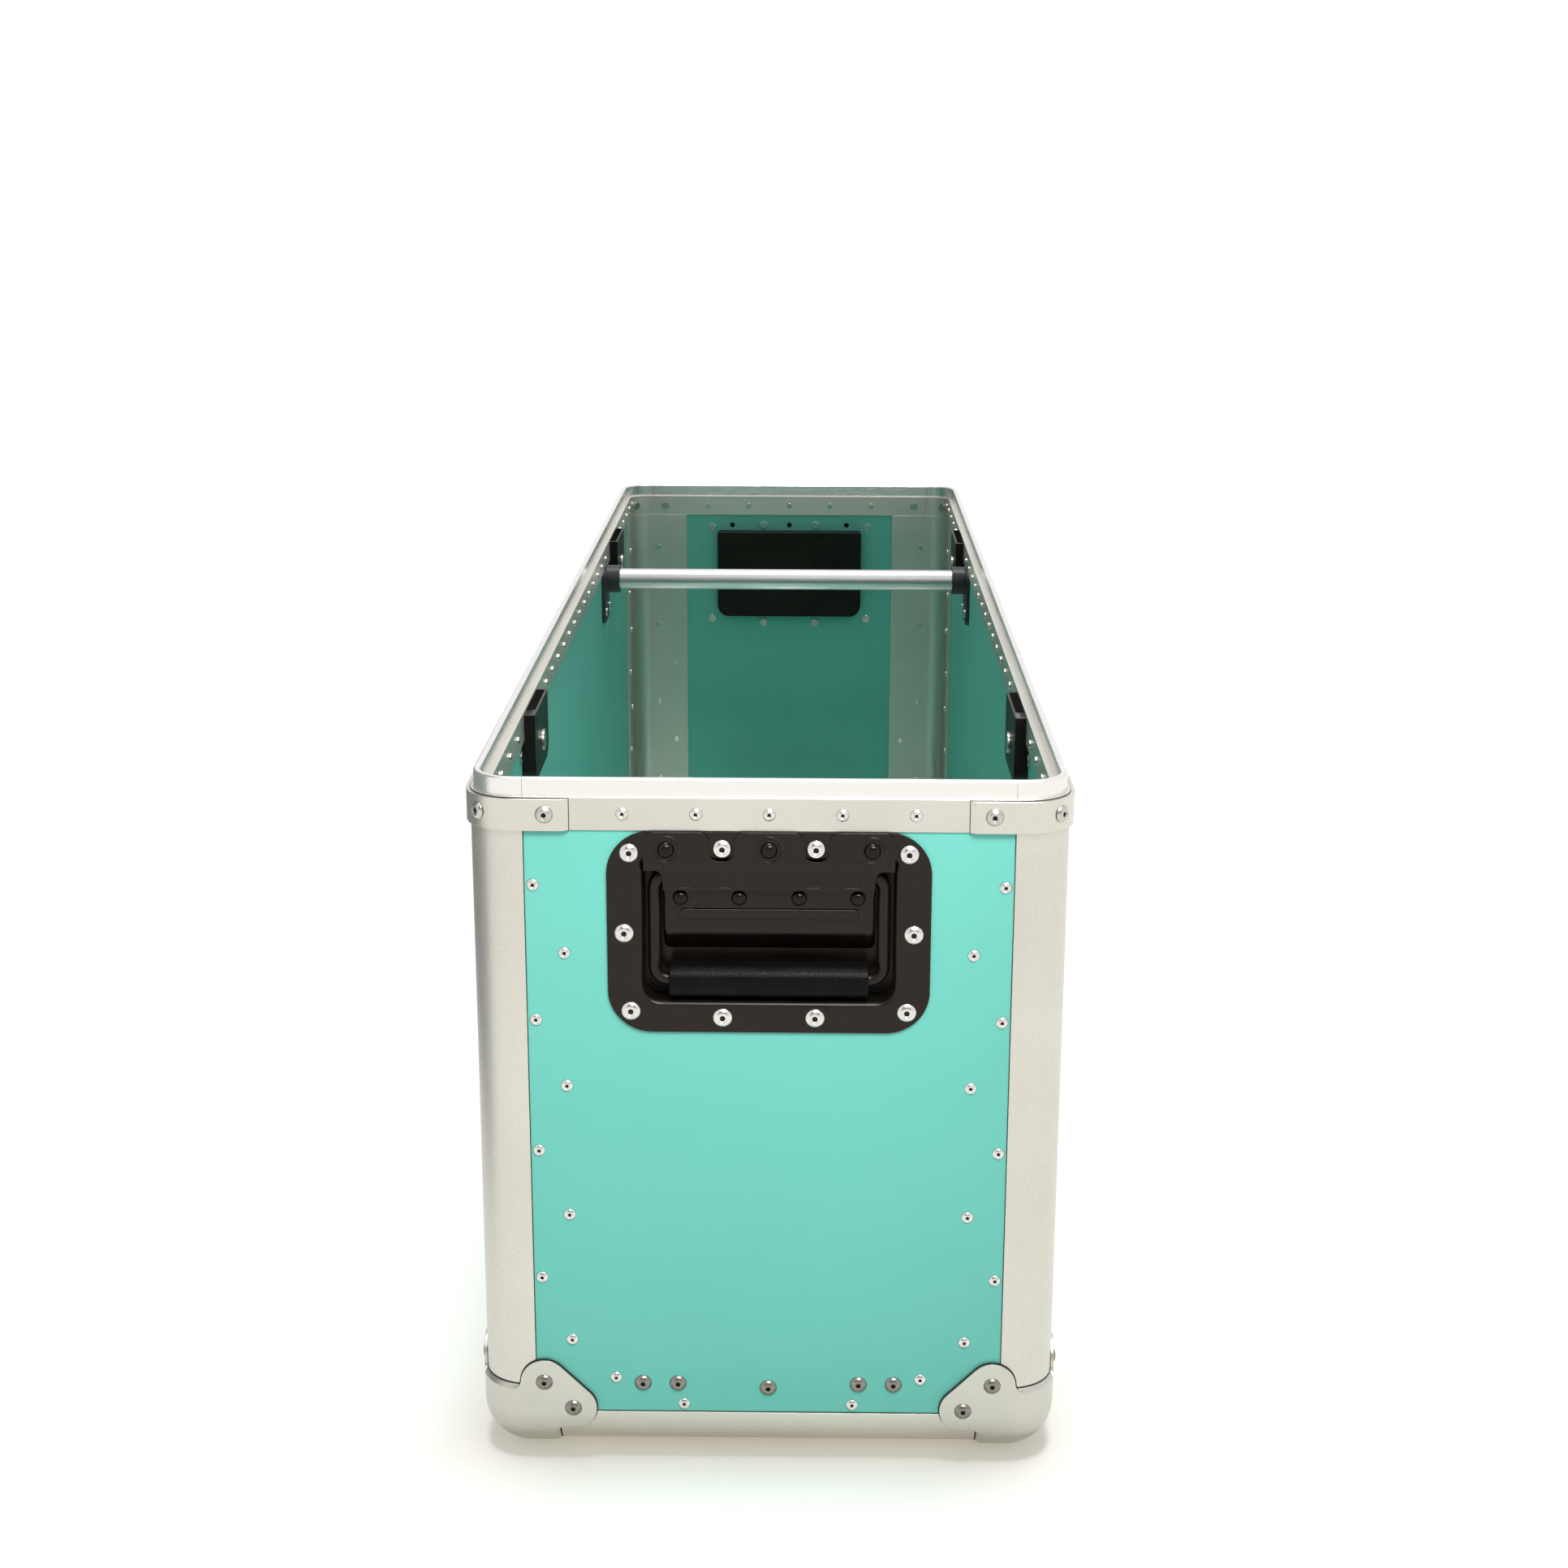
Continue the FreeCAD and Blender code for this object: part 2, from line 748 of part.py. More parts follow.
def corner_braces():
    """Bent strips round the rim's corners."""
    turn = V(edge_radius - half_width, edge_radius - half_length, rim_low)
    height = rim_band - brace_rise
    inner = edge_radius + fit_gap
    outer = inner + brace_wall
    bend = Part.makeCylinder(outer, height, turn, Z_AXIS, 90)
    bend.rotate(turn, Z_AXIS, 180)
    bend = bend.cut(Part.makeCylinder(inner, height, turn, Z_AXIS))
    end_x = brace_reach - half_width
    outline = [(turn.x, inner), (turn.x, outer), (end_x - brace_taper, outer)]
    outline += [(end_x, inner + brace_lip), (end_x, inner)]
    end_leg = prism([V(x, turn.y - reach, turn.z) for x, reach in outline], V(0, 0, height))
    side_leg = end_leg.mirror(turn, V(1, -1, 0))
    brace = joined([bend, end_leg, side_leg])
    cutters = holes(end_points(brace_pairs(half_width), 0), -Y_AXIS, large_shank, shell_depth)
    cutters += holes(side_points(brace_pairs(half_length), 0), -X_AXIS, large_shank, shell_depth)
    cutters += bend_bores()
    pieces["rim_braces"] = Part.makeCompound(four_corners(drilled(brace, cutters)))


# Pressed bottom corners

def rounded_corner(offset):
    """Solid corner of the shell, grown outward, with its three edges rounded alike."""
    reach = lobe_low_in + lobe_radius + overrun
    corner = V(-half_width - offset, -half_length - offset, corner_sheet - offset)
    solid = Part.makeBox(reach, reach, reach, corner)
    edges = [e for e in solid.Edges if any(v.Point.isEqual(corner, fit_gap / 2) for v in e.Vertexes)]
    return solid.makeFillet(edge_radius + offset, edges)


def lobe_root(lobe, hollow, start, centre, sweep):
    """Prism that leads a lobe into the ball's edge with a hollow curve about its own centre."""
    toward = (lobe - hollow).normalize()
    back = (start - hollow).normalize()
    end = hollow + toward * lobe_fillet
    middle = hollow + (toward + back).normalize() * lobe_fillet
    edges = [arc((start, middle, end)), line(end, lobe), line(lobe, centre), line(centre, start)]
    return face_of(edges).extrude(sweep)


def lobe_roots(high, low, centre, sweep):
    """Hollow curves from the upper lobe to the ball's top and from the lower lobe to its end."""
    span = lobe_radius + lobe_fillet
    above = centre.z + ball_reach + lobe_fillet
    aside = high.x - math.sqrt(span ** 2 - (above - high.z) ** 2)
    upper = V(aside, high.y, above)
    beside = centre.x + ball_reach + lobe_fillet
    below = low.z - math.sqrt(span ** 2 - (low.x - beside) ** 2)
    lower = V(beside, low.y, below)
    return [
        lobe_root(high, upper, upper - Z_AXIS * lobe_fillet, centre, sweep),
        lobe_root(low, lower, lower - X_AXIS * lobe_fillet, centre, sweep),
    ]


def lobe_shape():
    """Prism over the near end's two rivet lobes, the web between them and their hollow roots."""
    y = -overrun - half_length
    sweep = V(0, overrun + shell_depth, 0)
    centre = V(edge_radius - half_width, y, corner_sheet + edge_radius)
    high = V(lobe_high_in - half_width, y, corner_sheet + lobe_high_up)
    low = V(lobe_low_in - half_width, y, corner_sheet + lobe_low_up)
    along = (low - high).normalize()
    out = V(-along.z, 0, along.x) * lobe_radius
    web = prism([high + out, low + out, low, centre, high], sweep)
    rounds = [Part.makeCylinder(lobe_radius, sweep.y, place, Y_AXIS) for place in (high, low)]
    return joined([web] + rounds + lobe_roots(high, low, centre, sweep))


def bottom_corners():
    shell = rounded_corner(corner_sheet).cut(rounded_corner(fit_gap))
    centre = V(edge_radius - half_width, edge_radius - half_length, corner_sheet + edge_radius)
    ball = Part.makeSphere(corner_ball, centre)
    lobe = lobe_shape()
    side_lobe = lobe.mirror(centre, V(1, -1, 0))
    corner = joined([shell.common(shape) for shape in (ball, lobe, side_lobe)])
    cutters = holes(end_points(corner_pairs(half_width), 0), -Y_AXIS, large_shank, shell_depth)
    cutters += holes(side_points(corner_pairs(half_length), 0), -X_AXIS, large_shank, shell_depth)
    corner = drilled(corner, cutters)
    for place, shape in zip(("front_left", "front_right", "rear_left", "rear_right"), four_corners(corner)):
        pieces["bottom_corner_" + place] = shape


# Recessed end handle, made at the near end

def end_prism(half_x, points):
    """Prism along X over depths and heights on the near end."""
    return prism([V(-half_x, d - half_length, z) for d, z in points], V(2 * half_x, 0, 0))


def edges_at(shape, depth):
    """Edges that lie in the plane at a depth from the near end."""
    y = depth - half_length
    return [e for e in shape.Edges if abs(e.BoundBox.YMin - y) + abs(e.BoundBox.YMax - y) < fit_gap]


def on_recess(point):
    across = abs(point.x) < recess_half_width + fit_gap
    return across and recess_low - fit_gap < point.z < recess_high + fit_gap


def handle_dish():
    flange = end_block(dish_half_width, dish_front, panel_inset, dish_low, rim_low - panel_gap)
    flange = round_edges(flange, Y_AXIS, dish_corner)
    pocket = recess_block(dish_front, dish_floor + dish_wall, dish_wall)
    hollow = recess_block(dish_front - overrun, dish_floor, 0)
    face = dish_front + pad_depth
    root = dish_floor + dish_wall / 2
    outline = [(root, pad_top), (face, pad_top), (face, pad_shoulder)]
    outline += [(dish_floor, pad_toe), (root, pad_toe)]
    pad = end_prism(pad_half_width, outline)
    face_y = face - half_length
    floor_y = dish_floor - half_length
    pad = round_edges(pad, X_AXIS, pad_round, lambda c: c.z < pad_top and c.y < face_y + fit_gap)
    sides = [e for e in pad.Edges if abs(abs(e.CenterOfMass.x) - pad_half_width) < fit_gap]
    middles = [(e, e.CenterOfMass) for e in sides]
    proud = [e for e, c in middles if c.z < pad_top - fit_gap and c.y < floor_y - fit_gap]
    pad = pad.makeFillet(pad_side_round, proud)
    bead = end_block(bead_half_width, face - bead_rise, face + bead_rise, bead_low, bead_high)
    bead = round_edges(bead, Y_AXIS, (bead_high - bead_low) / 2 - fit_gap)
    bead = bead.makeFillet(bead_round, edges_at(bead, face - bead_rise))
    shell = joined([flange, pocket]).cut(hollow)
    lip = [e for e in edges_at(shell, dish_front) if on_recess(e.CenterOfMass)]
    dish = joined([shell.makeFillet(recess_lip, lip), pad, bead])
    through = end_points(dish_rivet_pairs() + plate_rivet_pairs(), dish_front)
    cutters = holes(through, -Y_AXIS, large_shank, overrun)
    cutters += holes(end_points(leaf_rivet_pairs(), leaf_front), -Y_AXIS, small_shank, leaf_rivet_length)
    return drilled(dish, cutters)


def hinge_plate():
    """Stepped plate over the bail's hinge, with lugs that carry the bail."""
    front = dish_front - plate_wall
    low_front = front + plate_joggle
    low_back = low_front + plate_wall
    top = rim_low - plate_top_gap
    plate = end_prism(plate_half_width, [
        (front, top),
        (front, plate_bend_high),
        (low_front, plate_bend_low),
        (low_front, plate_low),
        (low_back, plate_low),
        (low_back, plate_bend_low),
        (dish_front, plate_bend_high),
        (dish_front, top),
    ])
    at_bend = (plate_bend_low - fit_gap, plate_bend_high + fit_gap)
    plate = round_edges(plate, X_AXIS, plate_bend_round, lambda c: at_bend[0] < c.z < at_bend[1])
    y_near = front - overrun - half_length
    y_far = low_back + overrun - half_length
    gap = block(tab_gap_near, tab_gap_far, y_near, y_far, tab_gap_low, top + overrun)
    gap = round_edges(gap, Y_AXIS, tab_corner, lambda c: c.z < dish_rivet_top)
    notch_end = plate_half_width + overrun
    notch = block(plate_low_half_width, notch_end, y_near, y_far, plate_low - overrun, plate_bend_low)
    on_notch = (plate_low_half_width + fit_gap, plate_low)
    notch = round_edges(notch, Y_AXIS, plate_notch_round, lambda c: c.x < on_notch[0] and c.z > on_notch[1])
    plate = plate.cut([gap, flip_x(gap), notch, flip_x(notch)])
    plate = round_edges(plate, Y_AXIS, tab_corner, lambda c: c.z > dish_rivet_top)
    lugs = []
    marks = []
    half = lug_width / 2
    for place in lug_places + tuple(-place for place in lug_places):
        lug_low = hinge_height - lug_below
        lug = end_block(half, low_back, hinge_depth + lug_behind, lug_low, hinge_height + lug_above)
        mark = end_block(half, front, low_front + tab_mark_depth, tab_mark_low, tab_mark_high)
        lugs.append(lug.translated(V(place, 0, 0)))
        marks.append(mark.translated(V(place, 0, 0)))
    rings = []
    for place in end_points(plate_rivet_pairs(), front):
        ring = Part.makeCylinder(ring_outer, ring_rise, place, -Y_AXIS)
        rings.append(ring.cut(Part.makeCylinder(ring_inner, ring_rise, place, -Y_AXIS)))
    plate = joined([plate] + lugs + rings)
    bore_start = V(-plate_half_width, hinge_depth - half_length, hinge_height)
    bore = Part.makeCylinder(bail_radius + hinge_clear, 2 * plate_half_width, bore_start, X_AXIS)
    cutters = holes(end_points(plate_rivet_pairs(), front), -Y_AXIS, large_shank, plate_wall)
    return drilled(plate, cutters + marks + [bore])


def hinge_leaf():
    leaf = end_block(leaf_half_width, leaf_front, leaf_front + plate_wall, leaf_low, pad_top)
    leaf = round_edges(leaf, Y_AXIS, leaf_corner, lambda c: c.z < leaf_rivet_height)
    places = end_points(leaf_rivet_pairs(), leaf_front)
    return drilled(leaf, holes(places, -Y_AXIS, small_shank, leaf_rivet_length))


def rounded_path(points, radius):
    """Path through square corners, each turned with one radius."""
    edges = []
    start = points[0]
    for before, corner, after in zip(points, points[1:], points[2:]):
        into = (corner - before).normalize() * radius
        onward = (after - corner).normalize() * radius
        centre = corner - into + onward
        middle = centre + (corner - centre).normalize() * radius
        edges.append(line(start, corner - into))
        edges.append(arc((corner - into, middle, corner + onward)))
        start = corner + onward
    edges.append(line(start, points[-1]))
    return Part.Wire(edges)


def handle_bail():
    """Bent rod: two hinge stubs, two legs and the bar inside the grip."""
    y = hinge_depth - half_length
    places = [(bail_tail, hinge_height), (bail_half_width, hinge_height), (bail_half_width, grip_height)]
    places += [(-x, z) for x, z in reversed(places)]
    points = [V(x, y, z) for x, z in places]
    section = Part.Wire([Part.makeCircle(bail_radius, points[0], X_AXIS)])
    return rounded_path(points, bail_bend).makePipeShell([section], True, False)


def hinge_tube(x_from, x_to, height, outer, inner):
    start = V(x_from, hinge_depth - half_length, height)
    tube = Part.makeCylinder(outer, x_to - x_from, start, X_AXIS)
    return tube, Part.makeCylinder(inner, x_to - x_from, start, X_AXIS)


def handle_grip():
    half = grip_half_width
    body, bore = hinge_tube(-half, half, grip_height, grip_radius, bail_radius + fit_gap)
    ends = [e for e in body.Edges if e.Closed]
    return body.makeFillet(grip_round, ends).cut(bore)


def handle_springs():
    """Return springs on the hinge stubs, between the lugs."""
    room = lug_width / 2 + spring_end_gap
    inner = bail_radius + spring_clear
    start = lug_places[0] + room
    end = lug_places[1] - room
    tube, bore = hinge_tube(start, end, hinge_height, inner + spring_wire, inner)
    spring = tube.cut(bore)
    return Part.makeCompound([spring, flip_x(spring)])


def handles():
    made = {
        "handle_dish": handle_dish(),
        "handle_hinge_plate": hinge_plate(),
        "handle_leaf": hinge_leaf(),
        "handle_bail": handle_bail(),
        "handle_grip": handle_grip(),
        "handle_springs": handle_springs(),
    }
    for name, shape in made.items():
        pieces[name + "_front"] = shape
        pieces[name + "_rear"] = turned(shape)


# Recessed turn latch, made on the left side at the near end

def latch_dish(y):
    near = y - latch_half_width
    flange = side_block(dish_front, panel_inset, near, y + latch_half_width, latch_low, rim_low - panel_gap)
    flange = round_edges(flange, X_AXIS, latch_corner, lambda c: c.z < pocket_low)
    half = pocket_half_width + dish_wall
    top = parting - rim_web - panel_gap
    back = pocket_floor + dish_wall
    pocket = side_block(dish_front, back, y - half, y + half, pocket_low - dish_wall, top)
    pocket = round_edges(pocket, X_AXIS, recess_corner + dish_wall, lambda c: c.z < turn_height)
    near = y - pocket_half_width
    hollow = side_block(dish_front - overrun, pocket_floor, near, y + pocket_half_width, pocket_low, parting)
    hollow = round_edges(hollow, X_AXIS, recess_corner, lambda c: c.z < turn_height)
    centre = V(-half_width, y, turn_height)
    spindle = Part.makeCylinder(spindle_radius + spindle_clear, half_width, centre, X_AXIS)
    cutters = holes(side_points(latch_rivet_pairs(), dish_front), -X_AXIS, large_shank, overrun)
    return drilled(joined([flange, pocket]).cut(hollow), cutters + [spindle])


def latch_wing(y):
    """Turning disc with its thumb fin in front and its spindle behind."""
    back = pocket_floor - hook_seat_gap - hook_wall - turn_gap
    face = back - turn_wall
    behind = pocket_floor + dish_wall + spindle_clear
    disc = Part.makeCylinder(turn_radius, turn_wall, V(face - half_width, y, turn_height), X_AXIS)
    spindle = Part.makeCylinder(spindle_radius, behind - back, V(back - half_width, y, turn_height), X_AXIS)
    start = V(behind - half_width, y, turn_height)
    head = Part.makeCylinder(spindle_head, spindle_head_thick, start, X_AXIS)
    fin = side_block(face - fin_rise, face, y - fin_half_length, y + fin_half_length,
                     turn_height - fin_half_thick, turn_height + fin_half_thick)
    fin = round_edges(fin, Z_AXIS, fin_round, lambda c: c.x < face - fin_rise / 2 - half_width)
    return joined([disc, spindle, head, fin])


def latch_hook(y):
    """Stepped plate that rises outside the tongue, with a slot round the spindle."""
    back = pocket_floor - hook_seat_gap
    top = parting - hook_top_drop
    step = turn_height + turn_radius + hook_step_gap
    front = dish_front + hook_wall
    low = pocket_low + hook_low_gap
    high = step + hook_wall
    plate = side_block(back - hook_wall, back, y - hook_half_width, y + hook_half_width, low, high)
    ledge = side_block(dish_front, back, y - hook_neck, y + hook_neck, step, step + hook_wall)
    neck = side_block(dish_front, front, y - hook_neck, y + hook_neck, step, top)
    head = side_block(dish_front, front, y - hook_head, y + hook_head, top - hook_head_height, top)
    wide = spindle_radius + hook_slot_clear
    slot = side_block(0, back + overrun, y - wide, y + wide, turn_height - hook_travel, turn_height)
    ends = [V(-half_width, y, turn_height - hook_travel), V(-half_width, y, turn_height)]
    cutters = [slot] + [Part.makeCylinder(wide, back + overrun, end, X_AXIS) for end in ends]
    return joined([plate.cut(joined(cutters)), ledge, neck, head])


def latches():
    made = {
        "latch_dish": latch_dish(-latch_place),
        "latch_wing": latch_wing(-latch_place),
        "latch_hook": latch_hook(-latch_place),
    }
    for name, shape in made.items():
        pieces[name + "_front_left"] = shape
        pieces[name + "_front_right"] = flip_x(shape)
        pieces[name + "_rear_left"] = flip_y(shape)
        pieces[name + "_rear_right"] = turned(shape)


# Inside: cross bar, rail and bike mounts

def cross_bar():
    inner_face = half_width - seat - bracket_wall
    half = inner_face - bar_end_gap
    start = V(-half, bar_place, bar_height)
    bar = Part.makeCylinder(bar_radius, 2 * half, start, X_AXIS)
    pieces["cross_bar"] = bar.cut(Part.makeCylinder(bar_radius - bar_wall, 2 * half, start, X_AXIS))
    near = bar_place - bracket_half_width
    far = bar_place + bracket_half_width
    plate = side_block(seat, seat + bracket_wall, near, far, bracket_low, rim_low - panel_gap)
    plate = round_edges(plate, X_AXIS, bracket_corner)
    start = V(-inner_face, bar_place, bar_height)
    bore = bar_radius + fit_gap
    socket = Part.makeCylinder(bore + socket_wall, socket_reach, start, X_AXIS)
    bracket = joined([plate, socket.cut(Part.makeCylinder(bore, socket_reach, start, X_AXIS))])
    places = side_points(bracket_rivet_pairs(), 0)
    bracket = drilled(bracket, holes(places, -X_AXIS, large_shank, seat + row_margin))
    pieces["cross_bar_brackets"] = Part.makeCompound([bracket, flip_x(bracket)])


def mount_rail():
    """Slotted rail along the floor and the anchors that hold its ends."""
    inner = rail_half_width - rail_wall
    half = rail_half_length
    rail = block(-rail_half_width, rail_half_width, -half, half, flange_top, rail_top)
    hollow = block(-inner, inner, -half_length, half_length, flange_top + rail_wall, rail_top - rail_wall)
    slot_low = flange_top + rail_wall
    slot = block(-rail_slot, rail_slot, -half_length, half_length, slot_low, rail_top + overrun)
    pieces["mount_rail"] = drilled(rail.cut([hollow, slot]), floor_bores())
    back = shell_depth + anchor_wall
    plate = end_block(anchor_half_width, shell_depth, back, anchor_low, anchor_high)
    neck = end_block(anchor_foot_half_width, shell_depth, back, rail_top, anchor_high)
    reach = shell_depth + anchor_foot
    foot = end_block(anchor_foot_half_width, shell_depth, reach, rail_top, rail_top + anchor_wall)
    anchor = drilled(joined([plate, neck, foot]), end_bores())
    pieces["rail_anchors"] = Part.makeCompound([anchor, turned(anchor)])


def bike_mount(y, half_tube):
    """Sliding stand with a cross tube, open at the top, that a bike's axle drops into."""
    foot_half = rail_half_width - rail_wall - slide_gap
    neck_half = rail_slot - slide_gap
    seat_low = rail_top + slide_gap
    base_top = seat_low + mount_base_wall
    near = y - mount_base_long
    far = y + mount_base_long
    foot_low = flange_top + rail_wall + slide_gap
    foot = block(-foot_half, foot_half, near, far, foot_low, rail_top - rail_wall - slide_gap)
    neck = block(-neck_half, neck_half, near, far, foot_low, base_top)
    base = block(-mount_base_half, mount_base_half, near, far, seat_low, base_top)
    base = round_edges(base, Z_AXIS, mount_post_round)
    half = mount_post_half
    post = block(-half, half, y - half, y + half, seat_low, axle_height)
    post = round_edges(post, Z_AXIS, mount_post_round)
    start = V(-half_tube, y, axle_height)
    tube = Part.makeCylinder(axle_tube, 2 * half_tube, start, X_AXIS)
    seat_round = Part.makeCylinder(axle_seat, 2 * half_tube, start, X_AXIS)
    top = axle_height + axle_tube + overrun
    way_in = block(-half_tube, half_tube, y - axle_seat, y + axle_seat, axle_height, top)
    return joined([foot, neck, base, post, tube]).cut([seat_round, way_in])


# Rivet groups

def placed(rivet, places, outward):
    return [aimed(rivet, place, outward) for place in places]


def both_ends(shapes):
    return shapes + [turned(shape) for shape in shapes]


def both_sides(shapes):
    return shapes + [flip_x(shape) for shape in shapes]


def panel_rivets():
    rivet = eyed_rivet(small_head, small_rise, small_shank, panel_thick + flange_wall)
    group = both_ends(placed(rivet, end_points(end_rivet_pairs(), panel_inset), -Y_AXIS))
    group += both_sides(placed(rivet, side_points(side_rivet_pairs(), panel_inset), -X_AXIS))
    return group + placed(rivet, floor_rivet_places(), -Z_AXIS)


def rim_rivets():
    rivet = eyed_rivet(small_head, small_rise, small_shank, shell_depth)
    group = both_ends(placed(rivet, end_points(end_rim_pairs(), 0), -Y_AXIS))
    return group + both_sides(placed(rivet, side_points(side_rim_pairs(), 0), -X_AXIS))


def corner_rivets():
    brace_face = -fit_gap - brace_wall
    rivet = eyed_rivet(large_head, large_rise, large_shank, shell_depth - brace_face)
    group = both_ends(placed(rivet, end_points(brace_pairs(half_width), brace_face), -Y_AXIS))
    group += both_sides(placed(rivet, side_points(brace_pairs(half_length), brace_face), -X_AXIS))
    inner_bend = edge_radius - shell_depth
    hollow = inner_bend - math.sqrt(inner_bend ** 2 - (large_shank * tail_share) ** 2)
    rivet = eyed_rivet(large_head, large_rise, large_shank, shell_depth - brace_face + hollow)
    group += four_corners(aimed(rivet, bend_place(edge_radius - brace_face), BEND_AXIS))
    rivet = eyed_rivet(large_head, large_rise, large_shank, shell_depth + corner_sheet)
    group += both_ends(placed(rivet, end_points(corner_pairs(half_width), -corner_sheet), -Y_AXIS))
    return group + both_sides(placed(rivet, side_points(corner_pairs(half_length), -corner_sheet), -X_AXIS))


def bracket_rivets():
    rivet = eyed_rivet(large_head, large_rise, large_shank, panel_thick + flange_wall + anchor_wall)
    group = both_ends(placed(rivet, end_points(anchor_pairs(), panel_inset), -Y_AXIS))
    rivet = eyed_rivet(large_head, large_rise, large_shank, panel_thick + bracket_wall)
    group += both_sides(placed(rivet, side_points(bracket_rivet_pairs(), panel_inset), -X_AXIS))
    rivet = eyed_rivet(large_head, large_rise, large_shank, rail_wall + flange_wall + panel_thick)
    return group + placed(rivet, rail_rivet_places(), Z_AXIS)


def handle_rivets():
    rivet = eyed_rivet(wide_head, wide_rise, large_shank, dish_wall + panel_thick)
    return both_ends(placed(rivet, end_points(dish_rivet_pairs(), dish_front), -Y_AXIS))


def handle_dome_rivets():
    front = dish_front - plate_wall
    rivet = dome_rivet(dome_head, dome_rise, large_shank, plate_wall + dish_wall + panel_thick)
    group = placed(rivet, end_points(plate_rivet_pairs(), front), -Y_AXIS)
    rivet = dome_rivet(leaf_dome_head, leaf_dome_rise, small_shank, leaf_rivet_length - fit_gap)
    return both_ends(group + placed(rivet, end_points(leaf_rivet_pairs(), leaf_front), -Y_AXIS))


def latch_rivets():
    rivet = eyed_rivet(large_head, large_rise, large_shank, dish_wall + panel_thick)
    near = placed(rivet, side_points(latch_rivet_pairs(), dish_front), -X_AXIS)
    return both_sides(near + [flip_y(shape) for shape in near])


def rivets():
    pieces["panel_rivets"] = Part.makeCompound(panel_rivets())
    pieces["rim_rivets"] = Part.makeCompound(rim_rivets())
    pieces["corner_rivets"] = Part.makeCompound(corner_rivets())
    pieces["bracket_rivets"] = Part.makeCompound(bracket_rivets())
    pieces["handle_rivets"] = Part.makeCompound(handle_rivets())
    pieces["handle_dome_rivets"] = Part.makeCompound(handle_dome_rivets())
    pieces["latch_rivets"] = Part.makeCompound(latch_rivets())


def main():
    panels()
    upright_edges()
    bottom_edges()
    rim_bars()
    rim_corners()
    corner_braces()
    bottom_corners()
    handles()
    latches()
    cross_bar()
    mount_rail()
    pieces["fork_mount"] = bike_mount(-mount_place, fork_half_width)
    pieces["rear_mount"] = bike_mount(mount_place, rear_half_width)
    rivets()
    os.makedirs("parts", exist_ok=True)
    for name, shape in pieces.items():
        shape.exportStep("parts/" + name + ".step")


main()
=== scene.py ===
"""Finishes, painted shade along the joints, and studio of a riveted bike travel case, laid out as an add-on.
"""

import json
import math

import bmesh
import bpy
from mathutils import Matrix, Vector


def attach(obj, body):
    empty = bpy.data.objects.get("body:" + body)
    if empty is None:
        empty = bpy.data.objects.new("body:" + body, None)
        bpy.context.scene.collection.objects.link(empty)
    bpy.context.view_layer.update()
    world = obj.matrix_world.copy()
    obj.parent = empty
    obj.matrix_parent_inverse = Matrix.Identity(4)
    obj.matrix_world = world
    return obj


bl_info = {
    "name": "Bike travel case",
    "version": (1, 0, 0),
    "blender": (4, 5, 0),
    "location": "3D View > Sidebar > Travel case",
    "description": "Dresses a riveted bike travel case and sets it in a studio",
    "category": "Object",
}

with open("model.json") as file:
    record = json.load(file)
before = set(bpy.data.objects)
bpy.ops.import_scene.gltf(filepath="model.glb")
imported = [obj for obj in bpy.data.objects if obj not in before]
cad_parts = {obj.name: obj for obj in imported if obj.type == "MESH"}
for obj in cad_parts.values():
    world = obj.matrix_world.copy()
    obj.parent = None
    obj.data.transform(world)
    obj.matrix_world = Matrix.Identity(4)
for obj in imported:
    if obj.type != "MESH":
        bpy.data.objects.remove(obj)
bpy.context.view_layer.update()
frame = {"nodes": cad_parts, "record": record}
nodes = frame["nodes"]
slot_of_node = {entry["node"]: entry["material_slot"] for entry in frame["record"]["subparts"]}

ENDS = ("front", "rear")
SIDES = ("left", "right")
CORNERS = tuple(end + "_" + side for end in ENDS for side in SIDES)


# Sizes and colours that a user would change

def colour(name, description, default):
    """A colour setting, in linear values."""
    return bpy.props.FloatVectorProperty(
        name=name, description=description, default=default, subtype="COLOR", size=3, min=0, max=1
    )


def length(name, description, default):
    """A length setting, in metres."""
    return bpy.props.FloatProperty(
        name=name, description=description, default=default, unit="LENGTH", precision=5
    )


def share(name, description, default):
    """A setting from nought to one."""
    return bpy.props.FloatProperty(
        name=name, description=description, default=default, subtype="FACTOR", min=0, max=1
    )


def angle(name, description, degrees):
    """An angle setting, given in degrees."""
    return bpy.props.FloatProperty(
        name=name, description=description, default=math.radians(degrees), subtype="ANGLE"
    )


def spot(name, description, default):
    """A place in the studio, in metres."""
    return bpy.props.FloatVectorProperty(
        name=name, description=description, default=default, subtype="TRANSLATION", unit="LENGTH",
        size=3, precision=5,
    )


